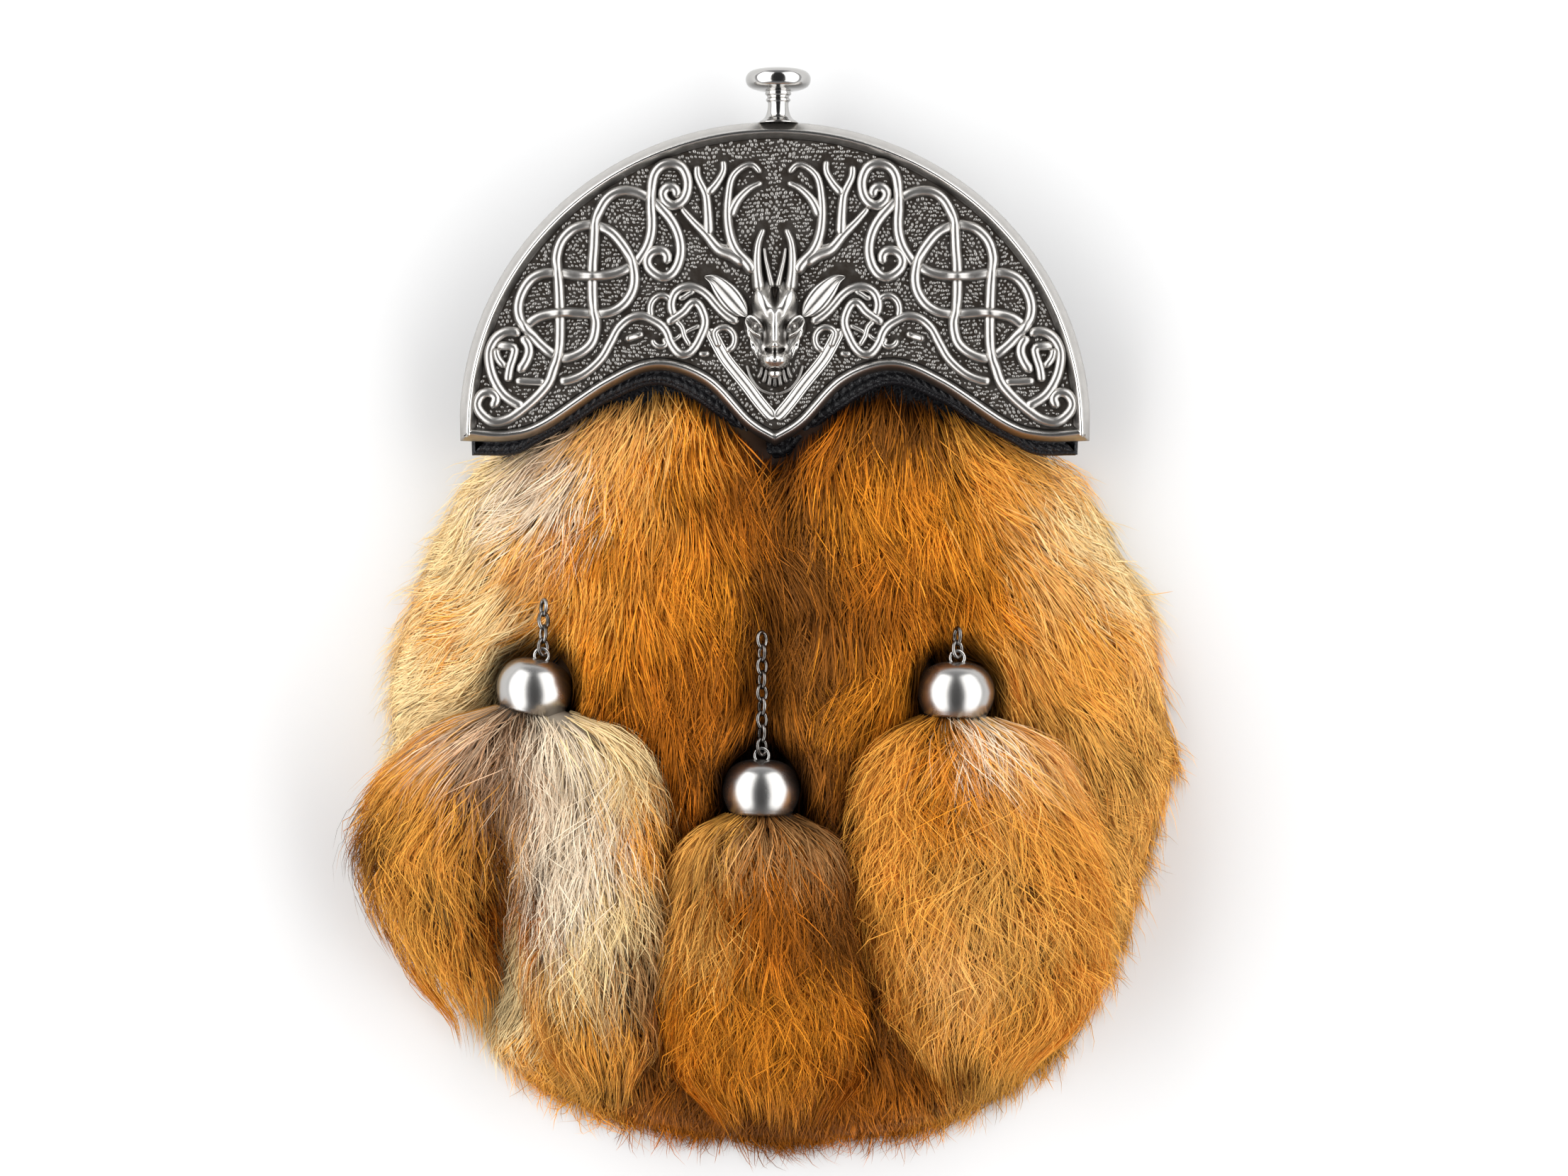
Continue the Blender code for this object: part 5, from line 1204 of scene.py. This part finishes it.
def findCrossings(paths):
    # Where flat paths cross: (path, distance along it, path, distance), from every pair of segments.
    a = np.vstack([p[:-1] for p in paths])
    d = np.vstack([np.diff(p, axis=0) for p in paths])
    owner = np.concatenate([np.full(len(p) - 1, i) for i, p in enumerate(paths)])
    along = np.concatenate([travelled(p)[:-1] for p in paths])
    r = a[None] - a[:, None]
    turned = d[:, None, 0] * d[None, :, 1] - d[:, None, 1] * d[None, :, 0]
    turned = np.where(np.abs(turned) < 1e-9, 1e-9, turned)
    t = (r[..., 0] * d[None, :, 1] - r[..., 1] * d[None, :, 0]) / turned
    u = (r[..., 0] * d[:, None, 1] - r[..., 1] * d[:, None, 0]) / turned
    hit = (t >= 0) & (t < 1) & (u >= 0) & (u < 1)
    size = np.linalg.norm(d, axis=1)
    return [
        (int(owner[m]), along[m] + t[m, n] * size[m], int(owner[n]), along[n] + u[m, n] * size[n])
        for m, n in zip(*np.nonzero(np.triu(hit, 2))) if owner[m] != owner[n] or abs(along[m] - along[n]) > 3
    ]


def weave(paths):
    # For each path, the heights to add along it: at its crossings it goes over and under by turns.
    crossings = findCrossings(paths)
    level = {}
    for i in range(len(paths)):
        mine = sorted(
            (c[1 + 2 * end], k, end) for k, c in enumerate(crossings) for end in (0, 1) if c[2 * end] == i
        )
        last = -1
        for _, k, end in mine:
            last = level.setdefault((k, end), -last)
            level.setdefault((k, 1 - end), -last)
    lifts = [np.zeros(len(path)) for path in paths]
    for k, crossing in enumerate(crossings):
        for end in (0, 1):
            owner, where = crossing[2 * end:2 * end + 2]
            size = cantle["over"] if level[(k, end)] > 0 else -cantle["under"]
            lifts[owner] += size * np.exp(-(((travelled(paths[owner]) - where) / cantle["crossing"]) ** 2))
    return lifts


def stagHeight(x, y):
    # The head's height over the ground: a soft maximum of forms like ellipsoids, log(sum of e^(blunt *
    # height)) / blunt, plus details height * e^(-r^3) and rings height * e^(-((r - 1) / line)^2), r being the
    # share of an ellipse's radius. The size scales the head about its eyes.
    x, y = x / stag["size"], (y - stag["eyes"]) / stag["size"] + stag["eyes"]

    def share(cx, cy, long, wide, turn):
        c, s = math.cos(math.radians(turn)), math.sin(math.radians(turn))
        return np.hypot(((x - cx) * c + (y - cy) * s) / long, ((y - cy) * c - (x - cx) * s) / wide)

    def bothShares(cx, cy, long, wide, turn):
        yield share(cx, cy, long, wide, turn)
        if cx:
            yield share(-cx, cy, long, wide, 180 - turn)

    heights = [
        tall * np.sqrt(np.clip(1 - share(side * cx, cy, rx, ry, 0) ** 2, 0, 1))
        for cx, cy, rx, ry, tall in stag["forms"] for side in ((1, -1) if cx else (1,))
    ]
    base = np.log(sum(np.exp(stag["blunt"] * h) for h in heights) / len(heights)) / stag["blunt"]
    added = sum(tall * np.exp(-r ** 3) for *spot, tall in stag["details"] for r in bothShares(*spot))
    for *spot, line, tall in stag["rings"]:
        for r in bothShares(*spot):
            added = added + tall * np.exp(-(((r - 1) / line) ** 2))
    return np.where(base > 0.25, np.maximum(base + added, 0.3), base)


def makeHead():
    # The head's heights on a grid. It is brightest where it stands above its surroundings' mean height.
    xs, ys = np.arange(-9.0, 9.0 + stag["step"], stag["step"]), np.arange(9.6, 38.6, stag["step"])
    x, y = np.meshgrid(xs, ys)
    z = stagHeight(x, y)
    mean = sum(np.roll(z, (i, j), (0, 1)) for i in (-4, -2, 0, 2, 4) for j in (-4, -2, 0, 2, 4)) / 25
    wornAndSheen = np.clip(0.55 + 1.0 * (z - mean), 0.05, 0.95) * smoothStep(0.1, 1.2, z)
    quads = gridFaces(len(ys), len(xs))
    shown = z.ravel()[quads].max(1) > 0.05
    return np.stack([x, y, z - 0.2], -1).reshape(-1, 3), quads[shown], noTriangles, wornAndSheen.ravel()


def makeDots(sides, lines):
    # Small six-sided cones in jittered rows over the ground, longer one way than the other, except where a
    # relief line or the head covers them. Their tips are worn bright.
    dice = np.random.default_rng(41)
    pitch, tall = cantle["dotPitch"], cantle["dotHeight"]
    xs, ys = np.arange(-73, 73, pitch), np.arange(-4, 71, pitch * 0.87)
    x, y = np.meshgrid(xs, ys)
    x = x + (np.arange(len(ys)) % 2)[:, None] * pitch / 2 + dice.normal(0, cantle["dotWander"], x.shape)
    y = y + 0.7 * np.sin(x / 9) + dice.normal(0, cantle["dotWander"], y.shape)
    x, y = x.ravel(), y.ravel()
    low = np.vstack([mitred(sides, 1, 3.2), mitred(sides, 2, 3.2)])
    low = low[np.argsort(low[:, 0])]
    rx, ry = cantle["halfWidth"] - cantle["dotsInside"], cantle["rise"] - cantle["dotsInside"]
    inside = ((x / rx) ** 2 + (np.maximum(y, 0) / ry) ** 2 < 1) & (y > np.interp(x, low[:, 0], low[:, 1]))
    x, y = x[inside], y[inside]
    clear = stagHeight(x, y) < 0.1
    for line, wide in lines:
        away = np.hypot(np.abs(x)[:, None] + line[None, :, 0], y[:, None] - line[None, :, 1]).min(1)
        clear &= away > wide + cantle["dotsClear"]
    x, y = x[clear], y[clear]
    count = len(x)
    size = dice.uniform(0.6, 1.2, count)
    half = (size * cantle["dotHalf"])[:, None]
    lean = (1.6 * waves(x, y, 14, 44) + dice.normal(0, 0.3, count))[:, None]
    turn = np.arange(6) * np.pi / 3
    long, wide = 1.25 * np.cos(turn), 0.85 * np.sin(turn)
    ringX = x[:, None] + half * (long * np.cos(lean) - wide * np.sin(lean))
    ringY = y[:, None] + half * (long * np.sin(lean) + wide * np.cos(lean))
    ring = np.stack([ringX, ringY, np.full(ringX.shape, -0.05)], -1)
    points = np.concatenate([ring, np.stack([x, y, tall * size], -1)[:, None]], 1).reshape(-1, 3)
    k = np.arange(6)
    tris = np.stack([k, (k + 1) % 6, np.full(6, 6)], -1)[None] + (np.arange(count) * 7)[:, None, None]
    wornAndSheen = np.column_stack([np.full((count, 6), 0.02), dice.uniform(0.75, 1.0, count)]).ravel()
    return points, np.empty((0, 4), int), tris.reshape(-1, 3), wornAndSheen


def buildCantle():
    # One casting: the rim, the ground and the back, and on the ground the woven strands, antlers, ears and
    # ruff as bars, the head and the dots.
    sides = halfMoonSides(cantle["edge"], cantle["halfWidth"], cantle["rise"], 3.0)
    relief, lines = [], []

    def cast(path, half, height, clear, bright=1.0, **shape):
        points, quads, tris, wornAndSheen = bar(path, half, height, **shape)
        relief.append((points, quads, tris, bright * wornAndSheen))
        lines.append((path, clear))

    paths = [smoothPath(chartPoints(stretches), 0.75) for _, stretches in strands]
    for (share, _), path, lift in zip(strands, paths, weave(paths)):
        half = cantle["strandHalf"] * share
        tall = cantle["strandHeight"] * (0.6 + 0.4 * share) + lift
        if path[-1, 0] > -2 and path[-1, 1] < 5:  # the V round the chin is broad and grooved
            cast(path, half * 1.2, tall, half, across=13, groove=0.6)
        else:
            cast(path, half, tall, half)
    for root, tip, tall, points in antlers:
        path = smoothPath(chartPoints([("stag", points)]), 0.75)
        t = np.linspace(0, 1, len(path))
        cast(path, root + (tip - root) * t, tall + (1.3 - tall) * t, root * 0.9)
    for half, tall, points in ears:
        path = smoothPath(chartPoints([("stag", points)]), 0.5)
        leaf = np.maximum(np.sin(np.pi * np.linspace(0, 1, len(path)) ** 0.8) ** 0.7, 0.1)
        cast(path, half * leaf, tall * (0.5 + 0.5 * leaf), half, across=15, groove=0.62)
    count, high, low, spread = stag["ruff"]
    for x in np.linspace(-1, 1, count)[: count // 2 + 1]:
        path = smoothPath([
            (x * 3.0, high + x * x), (x * spread * 0.8, (high + low) / 2 + x * x),
            (x * spread, low + 2.4 * x * x),
        ], 0.6)
        t = np.linspace(0, 1, len(path))
        cast(path, 0.5 + 0.25 * t, 2.2 - 1.2 * t, 0.6, bright=0.5, across=7)
    cast(smoothPath([(-x, y) for x, y in stag["ruffBand"]], 0.6), 0.5, 1.1, 0.5, bright=0.6, across=7)
    relief += [(p * [-1, 1, 1], q[:, ::-1], t[:, ::-1], w) for p, q, t, w in relief]
    relief += [makeHead(), makeDots(sides, lines)]
    rim = makeRim(sides, (cantle["arcRim"], cantle["lowRim"]), (190, 110, 110))
    ground = halfMoonSheet(sides, 4.3, 3.0, cantle["groundZ"], True, 0.02)
    back = halfMoonSheet(sides, 0.0, 0.0, cantle["backZ"], False, 0.4, rows=4)
    up = np.array([0, moonY, cantle["groundZ"]])
    parts = [rim, ground, back, *((points + up, *rest) for points, *rest in relief)]
    made = merged("cantle_casting", parts, castSilver, "cantle")
    print("cantle:", len(made.data.polygons), "faces,", len(paths), "strands a side")


buildCantle()


def lathe(profile, turns, matrix, fine=0.35):
    # A profile of (radius, height) turned about its axis and moved by a matrix. Ends on the axis are points.
    path = smoothPath(profile, fine)
    path[:, 0] = np.maximum(path[:, 0], 0.0005)
    turn = roundTurn(turns)
    radius, height = path[:, :1], np.repeat(path[:, 1:], turns, 1)
    ring = np.stack([radius * np.cos(turn), radius * np.sin(turn), height], -1)
    points = ring.reshape(-1, 3) @ matrix[:3, :3].T + matrix[:3, 3]
    return points, gridFaces(len(path), turns, wrapColumns=True), noTriangles, 1.0


def tube(path, wire, around, closed=False, upHint=(0, 0, 1)):
    # A round wire along a path in space.
    ahead = unit(np.roll(path, -1, 0) - np.roll(path, 1, 0) if closed else np.gradient(path, axis=0))
    side = unit(np.cross(ahead, np.array(upHint, float)) + 1e-6)
    up = np.cross(side, ahead)
    turn = roundTurn(around)[:, None]
    points = path[:, None] + wire * (side[:, None] * np.cos(turn) + up[:, None] * np.sin(turn))
    quads = gridFaces(len(path), around, wrapRows=closed, wrapColumns=True)
    return points.reshape(-1, 3), quads, noTriangles, 1.0


def alongY(x, y, z, tilt=0.0):
    # A matrix that lays +Z along the sporran's +Y, tilted in the table's plane, at a place in mm.
    c, s = math.cos(math.radians(tilt)), math.sin(math.radians(tilt))
    return np.array([[c, 0, -s, x], [s, 0, c, y], [0, -1, 0, z], [0, 0, 0, 1.0]])


knob = {
    "seat": (0.8, 120.5, 23.0), "turns": 72,
    "profile": [
        (0.0, 13.4), (2.8, 13.3), (5.3, 13.0), (6.9, 12.4), (7.65, 11.5), (7.85, 10.6), (7.6, 9.5),
        (6.9, 8.7), (5.4, 8.1), (3.6, 7.8), (3.0, 7.6), (3.15, 7.35), (3.2, 7.1), (3.0, 6.85), (2.7, 6.6),
        (2.6, 6.3), (2.8, 6.0), (3.0, 5.65), (2.8, 5.3), (2.5, 5.0), (2.5, 4.0), (2.7, 2.8), (3.1, 1.7),
        (3.8, 0.9), (4.5, 0.5), (4.6, 0.2), (4.5, 0.0), (0.0, 0.0),
    ],
}
knobForm = lathe(knob["profile"], knob["turns"], alongY(*knob["seat"]))
merged("finial_knob", [knobForm], brightSilver, "knob")


def chainCentres(name):
    # The links' middles: the first hangs in the cap's eye, and each next one a pitch up the fur.
    x, y = onCapAxis(name, cap["shoulder"] + 2 * cap["eye"] - 0.5)
    z = capCentre(name)[2]
    y += link["halfLength"] - 2 * link["wire"] - 0.45 - link["gap"]
    centres = []
    for _ in range(tassels[name]["links"]):
        centres.append((x, y, z))
        y += linkPitch * 0.985
        clear = highestFur(x, y, (-3, 0, 3), (-3, 0, 3)) + link["halfWidth"] + 1.0
        z += min(max(clear - z, -0.8), 0.8)
    return np.array(centres)


def buildCap(name):
    # The dome, turned, with a ring of wire on its top.
    matrix = alongY(*capCentre(name), tassels[name]["tilt"])
    a = roundTurn(28)
    size = cap["eye"]
    loop = np.column_stack([size * np.cos(a), 0 * a, cap["shoulder"] + size - 0.5 + size * np.sin(a)])
    points, *rest = tube(loop, cap["eyeWire"], 8, closed=True, upHint=(0, 1, 0))
    eye = (points @ matrix[:3, :3].T + matrix[:3, 3], *rest)
    dome = lathe(cap["profile"], cap["turns"], matrix, 0.5)
    merged(f"cap_dome_{name}", [dome, eye], satinSilver, f"cap_{name}")


def buildChain(name):
    # Oval links, each twisted about the chain's line the other way from the last.
    centres = chainCentres(name)
    links = []
    for i, centre in enumerate(centres):
        ahead = unit(centres[min(i + 1, len(centres) - 1)] - centres[max(i - 1, 0)])
        flat = unit(np.cross(ahead, (0, 0, 1.0)))
        out = np.cross(flat, ahead)
        twist = math.radians(link["twists"][i % 2])
        c, s = math.cos(twist), math.sin(twist)
        flat, out = flat * c + out * s, out * c - flat * s
        a = roundTurn(24)[:, None]
        oval = centre + ahead * link["halfLength"] * np.cos(a) + flat * link["halfWidth"] * np.sin(a)
        links.append(tube(oval, link["shownWire"], 8, closed=True, upHint=out))
    merged(f"chain_links_{name}", links, darkSilver, f"chain_{name}")


for name in tassels:
    buildCap(name)
    buildChain(name)
print("knob, caps and chains")


board = {
    "halfWidth": 73.6, "rise": 69.1, "first": 1.4, "low": 16.0, "high": 18.9,
    "edge": [  # lower edge of the right half from the ellipse's centre
        (0, -7.6), (4, -6.6), (12.6, 2.0), (27, 10.4), (39.8, 6.6), (48, 1.4), (57, -3.4), (63, -6.4),
        (73.3, -6.6),
    ],
    "profile": [  # (inward, height, worn)
        (0.25, 16.0, 1), (0, 16.4, 1), (0, 17.9, 1), (0.12, 18.5, 1), (0.45, 18.85, 1), (0.9, 19.0, 1),
    ],
    "band": (0.9, 8.0, 0.33),  # the embossed band's first and last row inward, and their spacing
    "pillow": 2.3, "row": 1.9, "slant": 0.55, "emboss": 0.7, "bandZ": 18.95, "sink": 0.1,
}


def boardBand(sides):
    # The leather's face along the lower edge, embossed with rows of slanting pillows: each rises as sin^0.6
    # across its length and its width.
    rows = np.arange(*board["band"])
    curves = []
    for inward in rows:
        left, right = (evenly(mitred(sides, n, inward), 230) for n in (1, 2))
        curves.append(np.vstack([left[:-1], right]))
    grid = np.array(curves)
    along = travelled(grid[0])[None]
    deep = (rows - board["band"][0])[:, None]
    lean = np.where(np.floor(deep / board["row"]) % 2 == 0, board["slant"], -board["slant"])
    slant = lean * (deep % board["row"])
    lengthwise = np.abs(np.sin(np.pi * (along + slant) / board["pillow"])) ** 0.6
    crosswise = np.abs(np.sin(np.pi * deep / board["row"])) ** 0.6
    z = board["bandZ"] + board["emboss"] * (lengthwise * crosswise) - board["sink"]
    points = np.dstack([grid, z]).reshape(-1, 3) + [0, moonY, 0]
    return points, gridFaces(*grid.shape[:2]), noTriangles, 1.0


def buildBoard():
    # The board's edge, its face and back, and the embossed band.
    sides = halfMoonSides(board["edge"], board["halfWidth"], board["rise"], board["first"])
    merged("leather_board", [
        makeRim(sides, (board["profile"], board["profile"]), (120, 160, 160)),
        halfMoonSheet(sides, 0.8, 7.0, board["high"], True, rows=4),
        halfMoonSheet(sides, 0.2, 0.2, board["low"], False, rows=4),
        boardBand(sides),
    ], blackLeather, "cantle_board")


buildBoard()

leather = {
    "wall": 1.8, "upright": 2.0, "gap": 0.3, "around": 40, "along": 70,
    "backEdge": [(0.6, 0.0), (0.15, 0.25), (0.0, 0.9), (0.15, 1.55), (0.6, 1.8)],  # (inward, height)
}


def archRows(y, grow):
    # Sections of the pouch's front: upright feet, then sides and crown rounded by the powers of their turn.
    wide, deep = (size[:, None] + grow for size in leatherSection(y))
    low = leather["wall"] + leather["gap"]
    turn = np.linspace(0, np.pi, leather["around"])[None]
    x = wide * np.sign(np.cos(turn)) * np.abs(np.cos(turn)) ** pouch["sideCurve"]
    z = low + leather["upright"] + (deep - low - leather["upright"]) * np.sin(turn) ** pouch["crownCurve"]
    return np.stack([x, np.broadcast_to(y[:, None], x.shape), np.maximum(z, low)], -1)


def buildPouchLeather():
    # The front is a shell: its outer sections run on into its inner ones, and both close at the mouth's lip
    # and at the foot. The back is a flat panel with a rounded edge.
    y = np.linspace(pouch["sections"][0][0], pouch["sections"][-1][0] + 0.2, leather["along"])
    outer, inner = archRows(y, 0.0), archRows(y, -leather["wall"])[:, ::-1]
    flat, up = np.array([1, 1, 0]), np.array([0, 0, leather["wall"] + leather["gap"]])
    ends = ((outer, 0), (outer, -1), (inner, 0), (inner, -1))
    feet = [(edge[:, i] * flat + up)[:, None] for edge, i in ends]
    shell = np.concatenate([feet[0], outer, feet[1], feet[2], inner, feet[3]], 1)
    lip = 0.5 * (shell + shell[:, ::-1])[:1] + [0, 0.8, 0]
    foot = np.broadcast_to(shell[-1:].mean(1, keepdims=True), lip.shape)
    shell = np.concatenate([lip, shell, foot], 0)
    quads = gridFaces(*shell.shape[:2], wrapColumns=True)[:, ::-1]
    front = (shell.reshape(-1, 3), quads, noTriangles, 1.0)
    merged("leather_front", [front], blackLeather, "pouch_front")
    rows = []
    for inset, z in leather["backEdge"]:
        side = np.column_stack([leatherSection(y)[0] - inset, y, np.full(len(y), z)])
        rows.append(np.vstack([side, side[::-1] * [-1, 1, 1]]))
    around = len(rows[0])
    k = np.arange(len(y) - 1)
    panel = np.column_stack([k, k + 1, around - 2 - k, around - 1 - k])
    top = panel + (len(rows) - 1) * around
    quads = np.vstack([gridFaces(len(rows), around, wrapColumns=True), panel, top[:, ::-1]])
    back = (np.vstack(rows), quads, noTriangles, 1.0)
    merged("leather_back", [back], blackLeather, "pouch_back")


buildPouchLeather()

strapLoop = {"y": 92.0, "half": 9.0, "wire": 1.3, "top": 15.7, "foot": 7.6, "corner": 2.5}


def buildStrapLoop(name):
    # A bail of wire behind the board: two legs and a bar across, with rounded corners.
    low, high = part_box(f"strap_loop_{name}")
    x = 0.5 * (low[0] + high[0]) / mm
    a = np.linspace(0, np.pi / 2, 8)
    left, corner = x - strapLoop["half"], strapLoop["corner"]
    bend = np.column_stack([left + corner * (1 - np.cos(a)), strapLoop["foot"] + corner * (1 - np.sin(a))])
    path = np.vstack([[left, strapLoop["top"]], bend])
    path = np.vstack([path, path[::-1] * [-1, 1] + [2 * x, 0]])
    path = np.column_stack([path[:, 0], np.full(len(path), strapLoop["y"]), path[:, 1]])
    bail = tube(path, strapLoop["wire"], 16, upHint=(0, 1, 0))
    merged(f"strap_bail_{name}", [bail], brightSilver, f"strap_loop_{name}")


for name in ("left", "right"):
    buildStrapLoop(name)
print("board, pouch leather and strap loops")
